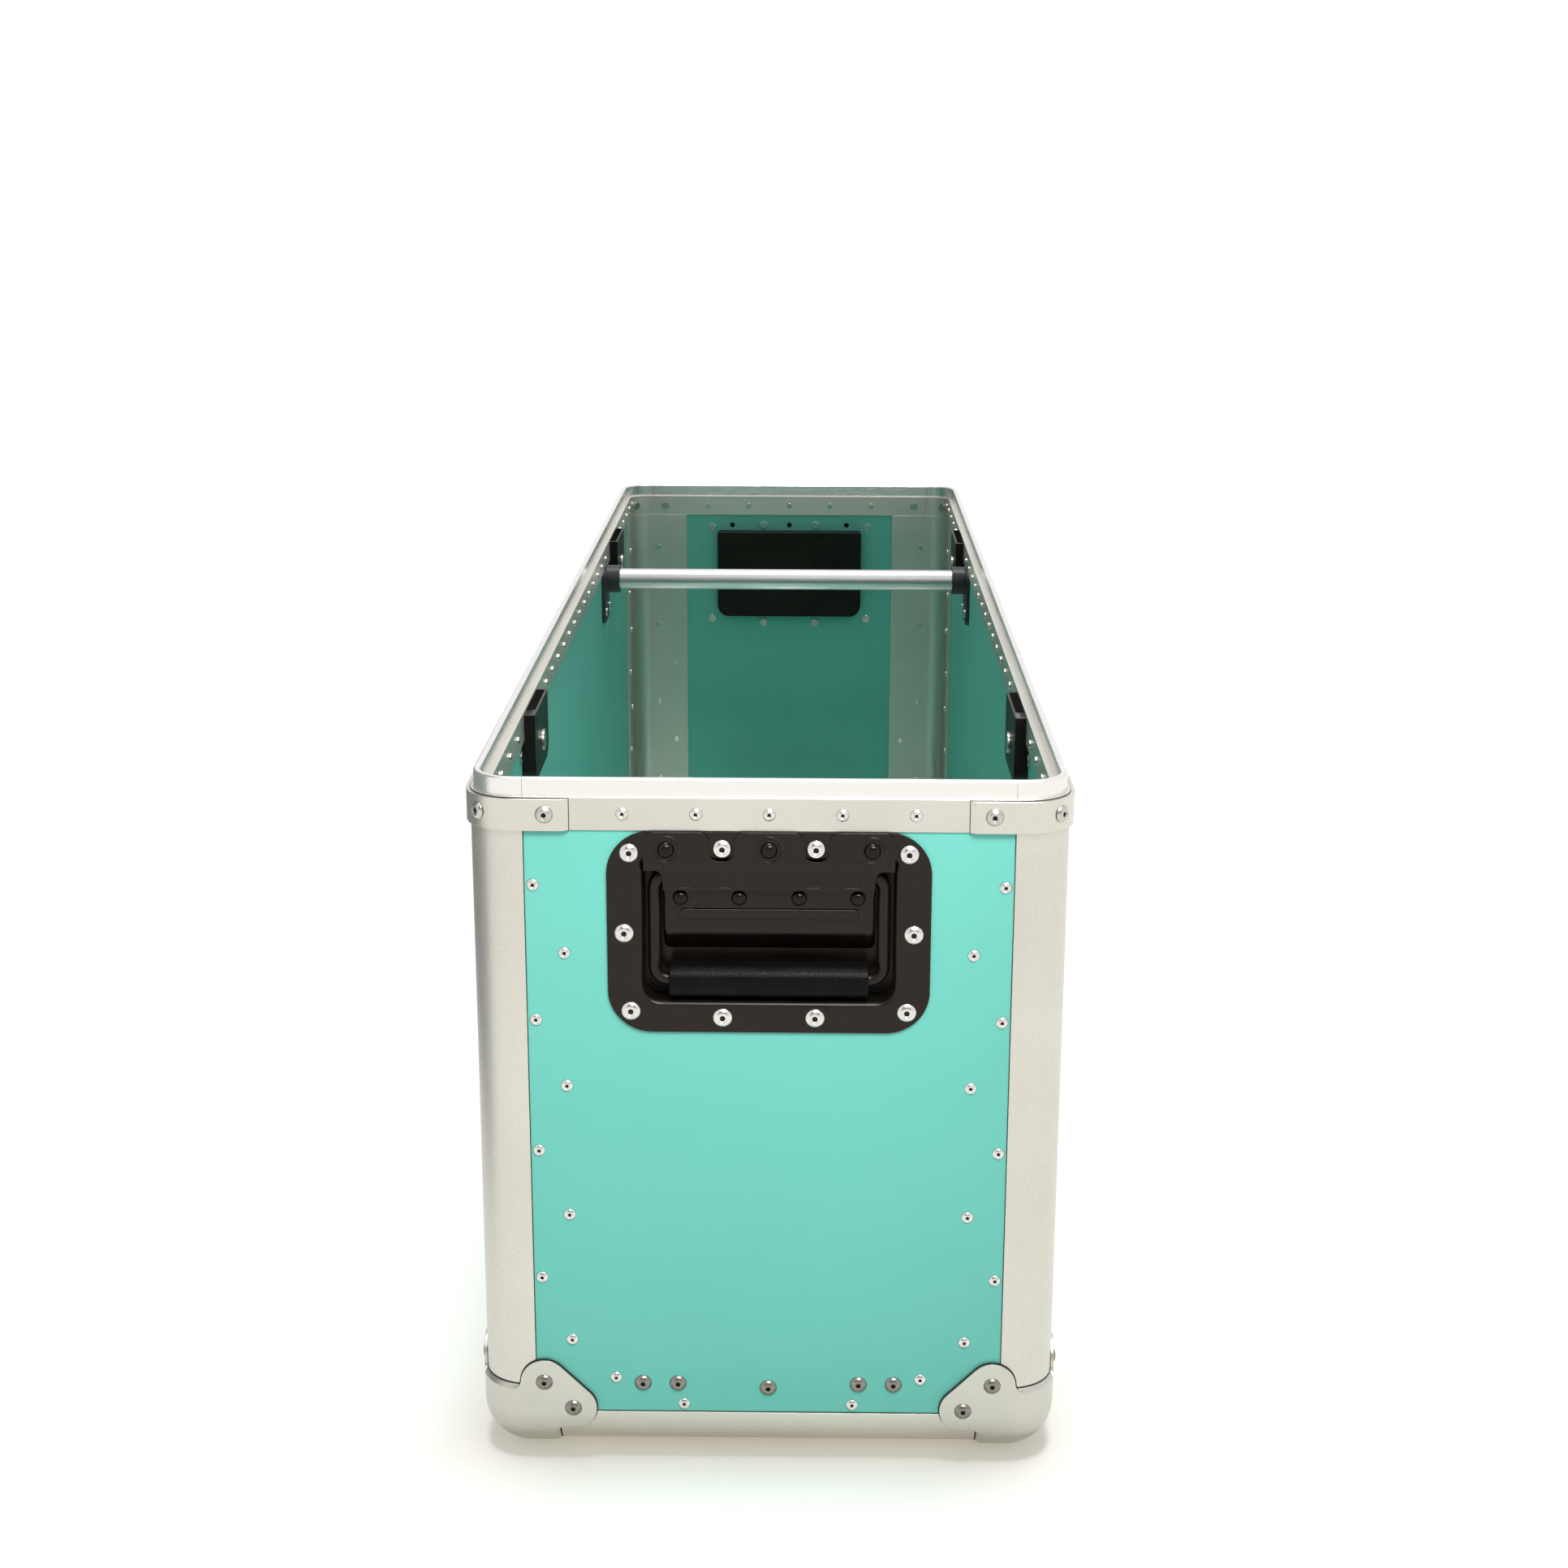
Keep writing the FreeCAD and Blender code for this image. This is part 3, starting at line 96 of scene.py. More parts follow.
class CaseFinishes(bpy.types.PropertyGroup):
    """Colours and surface of the case's materials, and where the painted shade along their joints lies."""

    panel_colour: colour("Panel", "Turquoise face of the laminated panels", (0.165, 0.600, 0.500))
    aluminium_colour: colour("Edge aluminium", "Satin anodised edges, rim and braces", (0.715, 0.690, 0.630))
    # Partly the tongue's bright drawn face, partly a painted highlight of the overhead light on this upward
    # part of the rim.
    tongue_and_highlight_colour: colour("Tongue", "Bright drawn face of the rim's tongue", (0.800, 0.790, 0.765))
    pressed_colour: colour("Pressed metal", "Brushed metal of the bottom corners", (0.580, 0.570, 0.520))
    bright_colour: colour("Bright rivet", "Heads of the panel and handle rivets", (0.730, 0.720, 0.690))
    brace_rivet_colour: colour("Brace rivet", "Plain heads of the braces' rivets", (0.560, 0.545, 0.510))
    steel_colour: colour("Steel rivet", "Plain steel heads of the larger rivets", (0.270, 0.255, 0.225))
    # Near black: the stubs' own colour, and also painted shade in the rivets' eyes and along the joints.
    stub_colour: colour("Rivet stub", "Dark pin in a rivet's eye, and dark joints", (0.030, 0.028, 0.026))
    black_colour: colour("Black enamel", "Handle and latch pressings", (0.006, 0.0045, 0.0035))
    # Greyer enamel along the edges: partly wear, partly a painted highlight on the bends and steps.
    rubbed_and_highlight_colour: colour("Rubbed enamel", "Black enamel where it is rubbed thin", (0.12, 0.115, 0.11))
    gleam_colour: colour("Enamel gleam", "Warm cast of the light on the black enamel", (1.0, 0.86, 0.78))
    rubber_colour: colour("Grip rubber", "Black rubber of the handle grip", (0.004, 0.004, 0.004))
    bar_colour: colour("Cross bar", "Drawn aluminium of the bar and the rail", (0.560, 0.560, 0.550))
    mount_colour: colour("Mount grey", "Dark grey paint of the axle mounts", (0.045, 0.046, 0.050))
    scuffed_colour: colour("Scuffed grey", "Grey paint where it is rubbed thin", (0.30, 0.30, 0.29))
    parting_height: length("Parting height", "Where the rim's band ends and its tongue starts", 0.4107)
    brace_foot: length("Brace foot", "Height above which the larger rivets belong to the braces", 0.302)
    panel_half_width: length("End panel half width", "Middle of an end panel to its joint", 0.1378)
    panel_half_length: length("Side panel half length", "Middle of a side panel to its joint", 0.5428)
    panel_foot: length("Panel foot", "Height of the joint along the foot of the panels", 0.0302)
    floor_foot: length("Floor foot", "Height of the floor panel's joint, which is out of sight", 0.0)
    round_x: length("Rounding across", "Middle of the case to the middle of an upright's rounding", 0.143)
    round_y: length("Rounding along", "Middle of the case to the middle of an upright's rounding", 0.548)
    round_z: length("Rounding from below", "Ground to the middle of a bottom corner's rounding", 0.029)
    # The three lengths below size the dark strips that paint the shade round the pressed corners and the
    # braces.
    joint_width: length("Joint width", "Width of the dark joint round the pressed corners", 0.0006)
    brace_shade_width: length("Brace joint width", "Width of the dark joint round the braces", 0.0005)
    joint_height: length("Joint height", "How far the dark joints stand out of the shell", 0.0001)
    edge_softness: length("Edge softness", "Radius that light sees on a cut or bent edge", 0.0007)
    # Also sets how strongly the painted edge highlight shows on the black enamel.
    wear_and_highlight_amount: share("Edge wear", "How far paint is rubbed thin along its edges", 0.35)


class CaseStudio(bpy.types.PropertyGroup):
    """Camera, light and floor."""

    camera_place: spot("Camera place", "Where the camera stands", (0.02268, -1.86963, 0.77066))
    camera_pitch: angle("Pitch", "How far the camera looks down", 15.196)
    camera_yaw: angle("Yaw", "How far the camera is turned to the left", 0.6405)
    camera_roll: angle("Roll", "Tilt of the camera about its line of sight", 0.205)
    camera_lens: bpy.props.FloatProperty(
        name="Lens", description="Focal length on a 36 mm sensor, in millimetres", default=55.527,
        subtype="DISTANCE_CAMERA",
    )
    key_power: bpy.props.FloatProperty(
        name="Key light", description="Power of the soft box over the front", default=1.1, unit="POWER"
    )
    key_place: spot("Key place", "Where the soft box hangs", (0.16, -1.10, 1.04))
    key_target: spot("Key target", "Where the soft box shines", (0.0, -0.575, 0.42))
    key_width: length("Key width", "Width of the soft box", 0.60)
    key_height: length("Key height", "Height of the soft box", 0.36)
    key_spread: angle("Key spread", "How far the light of the soft box spreads", 50.0)
    sun_level: bpy.props.FloatProperty(
        name="Broad light", description="Strength of the broad even light from overhead", default=2.0,
        subtype="UNSIGNED",
    )
    sun_place: spot("Broad light place", "Where the broad light comes from", (0.05, 0.16, 2.2))
    sun_width: angle("Broad light width", "How wide the broad light looks from the case", 18.0)
    sky_level: share("Sky level", "Level of the even light from all round", 0.36)
    floor_glow: share("Floor glow", "Share of white that the floor keeps in shade", 0.27)
    glow_colour: colour("Glow colour", "Warm cast of the floor in shade", (1.0, 0.94, 0.76))
    paper_colour: colour("Paper", "Pale sheet of the floor", (0.90, 0.90, 0.90))
    floor_reach: length("Floor reach", "Middle of the floor to its edges", 30.0)
    card_colour: colour("Card", "Grey of the cards that only the metal's sheen sees", (0.45, 0.45, 0.45))


def finishes():
    """The settings of the finishes."""
    return bpy.context.scene.case_finishes


def studio():
    """The settings of the studio."""
    return bpy.context.scene.case_studio


# Node trees

def put(tree, kind, inputs=None, **settings):
    """Adds a node, sets its options, and fills each named input with a value or a link."""
    node = tree.nodes.new(kind)
    for name, value in settings.items():
        setattr(node, name, value)
    for name, value in (inputs or {}).items():
        fill(tree, node.inputs[name], value)
    return node


def fill(tree, socket, value):
    """Fills a socket with a link or a plain value."""
    if isinstance(value, bpy.types.NodeSocket):
        tree.links.new(value, socket)
    else:
        socket.default_value = value


def math_node(tree, operation, *values, kind="ShaderNodeMath"):
    """The value of a sum on links or plain numbers."""
    node = put(tree, kind, operation=operation)
    for socket, value in zip(node.inputs, values):
        fill(tree, socket, value)
    return node.outputs["Value"]


def scaled(tree, value, factor):
    """A value times a factor."""
    return math_node(tree, "MULTIPLY", value, factor)


def mapped(tree, value, from_low, from_high, to_low=0.0, to_high=1.0):
    """A value mapped from a range to another."""
    ranges = {"From Min": from_low, "From Max": from_high, "To Min": to_low, "To Max": to_high}
    return put(tree, "ShaderNodeMapRange", {"Value": value, **ranges}).outputs["Result"]


def spread(tree, value, low, high):
    """Maps the middle of a noise to a range."""
    return mapped(tree, value, from_low=0.3, from_high=0.7, to_low=low, to_high=high)


def noise(tree, place, scale, detail, roughness):
    """A noise at a place."""
    inputs = {"Vector": place, "Scale": scale, "Detail": detail, "Roughness": roughness}
    return put(tree, "ShaderNodeTexNoise", inputs).outputs["Fac"]


def own_place(tree):
    """The place on the object itself."""
    return put(tree, "ShaderNodeTexCoord").outputs["Object"]


def own_height(tree):
    """The height on the object itself."""
    return put(tree, "ShaderNodeSeparateXYZ", {"Vector": own_place(tree)}).outputs["Z"]


# Sockets of a Mix node's colours, whose labels its other kinds of value share
MIX_INPUTS = (0, 6, 7)
MIX_RESULT = 2


def blend_colour(tree, factor, first, second):
    """A blend of two colours, each a link or plain values."""
    mix = put(tree, "ShaderNodeMix", data_type="RGBA")
    for index, value in zip(MIX_INPUTS, (factor, first, second)):
        fill(tree, mix.inputs[index], value)
    return mix.outputs[MIX_RESULT]


def opaque(base, factor=1.0, lift=0.0):
    """A colour made brighter or darker, with its alpha."""
    return (*[min(1.0, level * factor + lift) for level in base], 1.0)


def tint(tree, base, value, dark, bright):
    """A colour that wanders between a darker and a brighter shade of its base."""
    part = spread(tree, value, low=0.0, high=1.0)
    return blend_colour(tree, part, opaque(base, dark), opaque(base, bright))


def shared_group(name, inputs, outputs):
    """A new shader group with named sockets, and its two ends."""
    tree = bpy.data.node_groups.new(name, "ShaderNodeTree")
    for label, kind, default in inputs:
        socket = tree.interface.new_socket(label, in_out="INPUT", socket_type=kind)
        socket.default_value = default
    for label, kind in outputs:
        tree.interface.new_socket(label, in_out="OUTPUT", socket_type=kind)
    return tree, put(tree, "NodeGroupInput").outputs, put(tree, "NodeGroupOutput").inputs


def soft_edge_group():
    """Rounds cut edges for the light, and finds where hands and straps would rub them."""
    tree, start, end = shared_group(
        "soft_edges",
        [("Radius", "NodeSocketFloat", 0.001), ("Patch size", "NodeSocketFloat", 60.0)],
        [("Normal", "NodeSocketVector"), ("Wear", "NodeSocketFloat")],
    )
    bevel = put(tree, "ShaderNodeBevel", {"Radius": start["Radius"]}, samples=6).outputs["Normal"]
    flat = put(tree, "ShaderNodeNewGeometry").outputs["Normal"]
    turn = math_node(tree, "DOT_PRODUCT", bevel, flat, kind="ShaderNodeVectorMath")
    edge = mapped(tree, turn, from_low=0.99, from_high=0.80)
    patches = noise(tree, own_place(tree), scale=start["Patch size"], detail=5.0, roughness=0.65)
    worn = mapped(tree, patches, from_low=0.42, from_high=0.66)
    tree.links.new(bevel, end["Normal"])
    tree.links.new(math_node(tree, "MULTIPLY", edge, worn), end["Wear"])
    return tree


def grain_group():
    """Fine grain, stretched along a brushing direction, with broad clouds of handling."""
    tree, start, end = shared_group(
        "grain",
        [("Stretch", "NodeSocketVector", (1.0, 1.0, 1.0)), ("Cloud size", "NodeSocketFloat", 9.0)],
        [("Grain", "NodeSocketFloat"), ("Speckle", "NodeSocketFloat"), ("Clouds", "NodeSocketFloat")],
    )
    place = own_place(tree)
    stretched = put(tree, "ShaderNodeVectorMath", operation="MULTIPLY")
    tree.links.new(place, stretched.inputs[0])
    tree.links.new(start["Stretch"], stretched.inputs[1])
    grain = noise(tree, stretched.outputs["Vector"], scale=1.0, detail=3.0, roughness=0.6)
    speckle = noise(tree, place, scale=1400.0, detail=2.0, roughness=0.5)
    clouds = noise(tree, place, scale=start["Cloud size"], detail=4.0, roughness=0.55)
    tree.links.new(grain, end["Grain"])
    tree.links.new(speckle, end["Speckle"])
    tree.links.new(clouds, end["Clouds"])
    return tree


def joint_group():
    """The narrow strip of a panel next to its edges, where the colour paints the shade in the joint's gap,
    and its dirt.
    """
    tree, start, end = shared_group(
        "joint_strip",
        [("Way", "NodeSocketVector", (1.0, 0.0, 0.0)), ("Reach", "NodeSocketFloat", 0.1),
         ("Foot", "NodeSocketFloat", 0.03), ("Width", "NodeSocketFloat", 0.0006)],
        [("Joint", "NodeSocketFloat")],
    )
    along = math_node(tree, "DOT_PRODUCT", own_place(tree), start["Way"], kind="ShaderNodeVectorMath")
    left = math_node(tree, "SUBTRACT", start["Reach"], math_node(tree, "ABSOLUTE", along))
    above = math_node(tree, "SUBTRACT", own_height(tree), start["Foot"])
    nearest = math_node(tree, "MINIMUM", left, above)
    strip = mapped(tree, nearest, from_low=0.0, from_high=start["Width"], to_low=1.0, to_high=0.0)
    tree.links.new(strip, end["Joint"])
    return tree


def height_group():
    """One above a height and nought below it."""
    tree, start, end = shared_group(
        "height_mask", [("Height", "NodeSocketFloat", 0.4)], [("Above", "NodeSocketFloat")]
    )
    tree.links.new(math_node(tree, "GREATER_THAN", own_height(tree), start["Height"]), end["Above"])
    return tree


def group_outputs(tree, name, make, inputs):
    """Places a shared group, which is made the first time it is asked for, and gives its outputs."""
    group = bpy.data.node_groups.get(name) or make()
    node = put(tree, "ShaderNodeGroup", node_tree=group)
    for label, value in inputs.items():
        node.inputs[label].default_value = value
    return node.outputs


def new_material(name):
    """An empty node material with its Principled shader."""
    material = bpy.data.materials.new(name)
    material.use_nodes = True
    tree = material.node_tree
    tree.nodes.clear()
    surface = put(tree, "ShaderNodeBsdfPrincipled")
    put(tree, "ShaderNodeOutputMaterial", {"Surface": surface.outputs["BSDF"]})
    return material, tree, surface


# Finishes

COARSE = 60.0
FINE = 2600.0
BRUSHED_X = (COARSE, FINE, FINE)
BRUSHED_Y = (FINE, COARSE, FINE)
BRUSHED_Z = (FINE, FINE, COARSE)
EVEN = (FINE, FINE, FINE)
PAINT_GRAIN = (700.0, 700.0, 700.0)
LAMINATE_GRAIN = (900.0, 900.0, 900.0)
RUBBER_GRAIN = (300.0, 300.0, 300.0)


def fine_surface(tree, surface, height, depth, strength=1.0, invert=False):
    """Gives a surface its soft edges and a fine relief, and returns the wear along the edges."""
    edges = group_outputs(tree, "soft_edges", soft_edge_group, {"Radius": finishes().edge_softness})
    bump = put(
        tree, "ShaderNodeBump",
        {"Height": height, "Distance": depth, "Strength": strength, "Normal": edges["Normal"]},
        invert=invert,
    )
    tree.links.new(bump.outputs["Normal"], surface.inputs["Normal"])
    return edges["Wear"]


def grain_of(tree, stretch, cloud_size):
    """The grain and clouds of a surface."""
    return group_outputs(tree, "grain", grain_group, {"Stretch": stretch, "Cloud size": cloud_size})


def metal(name, base, roughness, stretch, depth, relief="Grain", metallic=1.0, sand=0.0, upper=None):
    """Bare metal with a grain, sanded specks, rubbed edges and, above a height, another tone, which on the
    rim is partly a painted highlight.
    """
    own = finishes()
    base = getattr(own, base)
    material, tree, surface = new_material(name)
    grain = grain_of(tree, stretch, cloud_size=7.0)
    wear = fine_surface(tree, surface, grain[relief], depth)
    tone = tint(tree, base, grain["Clouds"], dark=0.93, bright=1.05)
    specks = spread(tree, grain["Speckle"], low=0.0, high=sand)
    sanded = blend_colour(tree, specks, tone, opaque(base, factor=0.5))
    worn = blend_colour(tree, wear, sanded, opaque(base, factor=1.1))
    rough = spread(tree, grain[relief], low=roughness - 0.06, high=roughness + 0.06)
    # Above a height, another tone: on the rim, the tongue's bright drawn face together with a painted
    # highlight of the overhead light; on the brace rivets, their own colour.
    if upper:
        height, upper_tone, polish = upper
        mask = group_outputs(tree, "height_mask", height_group, {"Height": getattr(own, height)})
        worn = blend_colour(tree, mask["Above"], worn, opaque(getattr(own, upper_tone)))
        rough = math_node(tree, "SUBTRACT", rough, scaled(tree, mask["Above"], polish))
    tree.links.new(worn, surface.inputs["Base Color"])
    tree.links.new(rough, surface.inputs["Roughness"])
    surface.inputs["Metallic"].default_value = metallic
    return material


def coated(name, base, bare, roughness, depth, shine=0.25, gleam=None):
    """Paint with a fine orange peel, rubbed through to a greyer tone along its edges; on the black enamel
    this greyer edge is also a painted highlight.
    """
    own = finishes()
    material, tree, surface = new_material(name)
    grain = grain_of(tree, PAINT_GRAIN, cloud_size=14.0)
    wear = fine_surface(tree, surface, grain["Grain"], depth)
    tone = tint(tree, getattr(own, base), grain["Clouds"], dark=0.85, bright=1.2)
    # Greyer along the edges: wear, and on the black enamel also a painted highlight.
    wear_and_highlight = scaled(tree, wear, own.wear_and_highlight_amount)
    worn = blend_colour(tree, wear_and_highlight, tone, opaque(getattr(own, bare)))
    tree.links.new(worn, surface.inputs["Base Color"])
    rough = spread(tree, grain["Clouds"], low=roughness - 0.05, high=roughness + 0.07)
    tree.links.new(rough, surface.inputs["Roughness"])
    surface.inputs["Specular IOR Level"].default_value = shine
    if gleam:
        surface.inputs["Specular Tint"].default_value = opaque(getattr(own, gleam))
    return material


def laminate(name, way, reach, foot):
    """Matt laminate: an even colour with a faint mottle, a fine moulded tooth, and painted shade with dirt
    along its joints.
    """
    own = finishes()
    base = own.panel_colour
    material, tree, surface = new_material(name)
    grain = grain_of(tree, LAMINATE_GRAIN, cloud_size=5.0)
    fine_surface(tree, surface, grain["Speckle"], depth=0.00006, strength=0.6)
    tone = tint(tree, base, grain["Clouds"], dark=0.965, bright=1.035)
    tooth = spread(tree, grain["Grain"], low=0.0, high=0.06)
    toothed = blend_colour(tree, tooth, tone, opaque(base, factor=1.25, lift=0.02))
    sizes = {"Way": way, "Reach": getattr(own, reach), "Foot": getattr(own, foot)}
    joint = group_outputs(tree, "joint_strip", joint_group, sizes)
    # Darkens the strip along the panel's joints: painted shade of the gap, with some dirt.
    shade = scaled(tree, joint["Joint"], factor=0.9)
    gap_shade_and_dirt = blend_colour(tree, shade, toothed, opaque(own.stub_colour))
    tree.links.new(gap_shade_and_dirt, surface.inputs["Base Color"])
    rough = spread(tree, grain["Speckle"], low=0.50, high=0.64)
    tree.links.new(rough, surface.inputs["Roughness"])
    surface.inputs["Specular IOR Level"].default_value = 0.35
    return material


def moulded_rubber(name):
    """Black rubber with a pebbled skin, dusty in broad patches."""
    material, tree, surface = new_material(name)
    pebbles = put(tree, "ShaderNodeTexVoronoi", {"Vector": own_place(tree), "Scale": 1100.0})
    grain = grain_of(tree, RUBBER_GRAIN, cloud_size=40.0)
    fine_surface(tree, surface, pebbles.outputs["Distance"], depth=0.00012, strength=0.7, invert=True)
    tone = tint(tree, finishes().rubber_colour, grain["Clouds"], dark=0.8, bright=1.5)
    rough = spread(tree, grain["Grain"], low=0.24, high=0.34)
    tree.links.new(tone, surface.inputs["Base Color"])
    tree.links.new(rough, surface.inputs["Roughness"])
    surface.inputs["Specular IOR Level"].default_value = 0.07
    return material


ACROSS = (1.0, 0.0, 0.0)
ALONG = (0.0, 1.0, 0.0)

ANODISED = dict(
    base="aluminium_colour", roughness=0.40, depth=0.00005, metallic=0.9, sand=0.3,
    # The brighter tongue is partly its drawn face and partly a painted highlight.
    upper=("parting_height", "tongue_and_highlight_colour", 0.16),
)
TUBE = dict(base="aluminium_colour", roughness=0.36, depth=0.00004)
BAR = dict(base="bar_colour", roughness=0.36, depth=0.00004)
HEAD = dict(stretch=EVEN, depth=0.00003, relief="Speckle")
BRACE_HEAD = ("brace_foot", "brace_rivet_colour", 0.05)
# The enamel's greyer edges are partly wear and partly a painted highlight.
ENAMEL = dict(base="black_colour", bare="rubbed_and_highlight_colour")
SHADE_PAINT = dict(base="stub_colour", bare="stub_colour")
GREY = dict(base="mount_colour", bare="scuffed_colour")

FINISHES = {
    "laminate_end": (laminate, dict(way=ACROSS, reach="panel_half_width", foot="panel_foot")),
    "laminate_side": (laminate, dict(way=ALONG, reach="panel_half_length", foot="panel_foot")),
    "laminate_floor": (laminate, dict(way=ALONG, reach="panel_half_length", foot="floor_foot")),
    "anodised_across": (metal, dict(ANODISED, stretch=BRUSHED_X)),
    "anodised_along": (metal, dict(ANODISED, stretch=BRUSHED_Y)),
    "anodised_upright": (metal, dict(ANODISED, stretch=BRUSHED_Z)),
    "brushed_brace": (metal, dict(TUBE, stretch=BRUSHED_Z, sand=0.2)),
    "pressed_metal": (metal, dict(base="pressed_colour", roughness=0.34, stretch=BRUSHED_Z, depth=0.00006)),
    "bright_head": (metal, dict(HEAD, base="bright_colour", roughness=0.17, depth=0.00002)),
    "plain_head": (metal, dict(HEAD, base="steel_colour", roughness=0.26, upper=BRACE_HEAD)),
    # The stubs' near-black finish also paints the shade in the rivets' eyes.
    "rivet_stub": (metal, dict(HEAD, base="stub_colour", roughness=0.50)),
    "zinc_plate": (metal, dict(HEAD, base="pressed_colour", roughness=0.30)),
    "spring_wire": (metal, dict(base="steel_colour", roughness=0.28, stretch=BRUSHED_X, depth=0.00003)),
    "drawn_bar": (metal, dict(BAR, stretch=BRUSHED_X)),
    "drawn_rail": (metal, dict(BAR, stretch=BRUSHED_Y)),
    # Near-black strips that stand out of the shell: painted shade of the gaps round the corners and the
    # braces.
    "dark_joint": (coated, dict(SHADE_PAINT, roughness=0.6, depth=0.00003, shine=0.1)),
    "black_enamel_coat": (
        coated, dict(ENAMEL, roughness=0.27, depth=0.00003, shine=0.32, gleam="gleam_colour")
    ),
    "gloss_dome": (coated, dict(ENAMEL, roughness=0.13, depth=0.00001, shine=0.2)),
    "black_latch_coat": (coated, dict(ENAMEL, roughness=0.38, depth=0.00008)),
    "grey_paint": (coated, dict(GREY, roughness=0.42, depth=0.00008)),
    "pebbled_rubber": (moulded_rubber, {}),
}

FINISH_OF_SLOT = {
    "bright_rivet": "bright_head",
    "steel_rivet": "plain_head",
    "black_enamel": "black_enamel_coat",
    "grip_rubber": "pebbled_rubber",
    "spring_steel": "spring_wire",
    "latch_black": "black_latch_coat",
    "latch_steel": "zinc_plate",
}


def finish(name):
    """The named finish, made the first time it is asked for."""
    make, settings = FINISHES[name]
    return bpy.data.materials.get(name) or make(name, **settings)


def dress(node, name=None):
    """Gives a node of the frame one finish all over: the one named, or that of its slot."""
    material = finish(name or FINISH_OF_SLOT[slot_of_node[node]])
    for slot in nodes[node].material_slots:
        slot.material = material
    if not nodes[node].material_slots:
        nodes[node].data.materials.append(material)


# New meshes

MERGE_DISTANCE = 0.000001


def merged_copy(node):
    """A copy of a node's mesh in the frame, with its doubled vertices merged."""
    copy = bmesh.new()
    copy.from_mesh(nodes[node].data)
    copy.transform(nodes[node].matrix_world)
    bmesh.ops.remove_doubles(copy, verts=copy.verts, dist=MERGE_DISTANCE)
    return copy


def mesh_object(name, work, material):
    """An object at the origin that holds a finished mesh and its material."""
    mesh = bpy.data.meshes.new(name)
    work.to_mesh(mesh)
    work.free()
    mesh.materials.append(material)
    made = bpy.data.objects.new(name, mesh)
    bpy.context.scene.collection.objects.link(made)
    return made


def new_piece(name, work, material, body):
    """A new piece of the case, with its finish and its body."""
    bmesh.ops.recalc_face_normals(work, faces=work.faces)
    piece = mesh_object(name, work, finish(material))
    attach(piece, body)


# Rivet stubs, near black so that they also paint the shade in the rivets' eyes

EYED_RIVETS = (
    "panel_rivets", "rim_rivets", "corner_rivets", "bracket_rivets", "handle_rivets", "latch_rivets",
)
RIVET_AXES = [
    Vector(way).normalized() for way in ((1, 0, 0), (0, 1, 0), (0, 0, 1), (1, 1, 0), (1, -1, 0))
]
BRIM_SHARE = 0.97
BRIM_SLACK = 0.00005
EYE_SHARES = (0.05, 0.6)
STUB_RISE = 0.4
STUB_FOOT = 0.98
STUB_TIP = 0.8
STUB_SIDES = 12


def separate_solids(node):
    """Lists of places, one for each separate solid of a node, from a merged copy of its mesh."""
    copy = merged_copy(node)
    waiting = dict.fromkeys(copy.verts)
    solids = []
    while waiting:
        found = [waiting.popitem()[0]]
        for vert in found:
            linked = [edge.other_vert(vert) for edge in vert.link_edges]
            fresh = [other for other in linked if other in waiting]
            for other in fresh:
                del waiting[other]
            found.extend(fresh)
        solids.append([vert.co.copy() for vert in found])
    copy.free()
    return solids


def extent(places, way):
    """Lowest and highest place along a direction."""
    heights = [place.dot(way) for place in places]
    return min(heights), max(heights)


def middle(places, way):
    """Halfway between the lowest and the highest place along a direction."""
    return sum(extent(places, way)) / 2


def square_ways(way):
    """Two directions at right angles to an axis and to each other."""
    side = Vector((-way.y, way.x, 0.0)).normalized() if way.z < 0.5 else Vector((1.0, 0.0, 0.0))
    return side, way.cross(side)


def unevenness(places, way):
    """How much wider a solid is one way than the other, seen along an axis."""
    widths = [high - low for low, high in (extent(places, side) for side in square_ways(way))]
    return abs(widths[0] - widths[1])


def round_about(places):
    """The direction that a turned solid is round about, and a point on its axis."""
    way = min(RIVET_AXES, key=lambda axis: unevenness(places, axis))
    side, other = square_ways(way)
    return way, side * middle(places, side) + other * middle(places, other)


def rivet_eye(places):
    """Place, outward direction, radius and depth of the eye in a rivet's head."""
    way, axis = round_about(places)
    heights = [place.dot(way) for place in places]
    radii = [(place - way * height - axis).length for place, height in zip(places, heights)]
    widest = max(radii)
    brim = [height for height, radius in zip(heights, radii) if radius > BRIM_SHARE * widest]
    base = sum(brim) / len(brim)
    if base < middle(places, way):
        way, heights, base = -way, [-height for height in heights], -base
    least, most = (share_of_head * widest for share_of_head in EYE_SHARES)
    head = [radius for radius, height in zip(radii, heights) if height > base - BRIM_SLACK]
    eye = min(radius for radius in head if least < radius < most)
    return axis + way * base, way, eye, max(heights) - base


def add_stub(work, places):
    """The sheared end of the pin, standing low in the eye of one rivet; its near-black finish also paints
    the shade of the eye.
    """
    place, way, radius, rise = rivet_eye(places)
    depth = STUB_RISE * rise
    turn = Vector((0.0, 0.0, 1.0)).rotation_difference(way).to_matrix().to_4x4()
    bmesh.ops.create_cone(
        work, cap_ends=True, segments=STUB_SIDES, radius1=radius * STUB_FOOT, radius2=radius * STUB_TIP,
        depth=depth, matrix=Matrix.Translation(place + way * depth / 2) @ turn,
    )


# Painted shade lines round the pressed corners and the braces

FACING_IN = -0.7


def out_of_corner(place):
    """The way out of the shell at a place, as seen from the middle of its rounded corners."""
    own = finishes()
    across = max(0.0, abs(place.x) - own.round_x)
    along = max(0.0, abs(place.y) - own.round_y)
    below = max(0.0, own.round_z - place.z)
    return Vector((math.copysign(across, place.x), math.copysign(along, place.y), -below)).normalized()


def faces_in(face):
    """Whether a face looks at the shell."""
    return face.normal.dot(out_of_corner(face.calc_center_median())) < FACING_IN


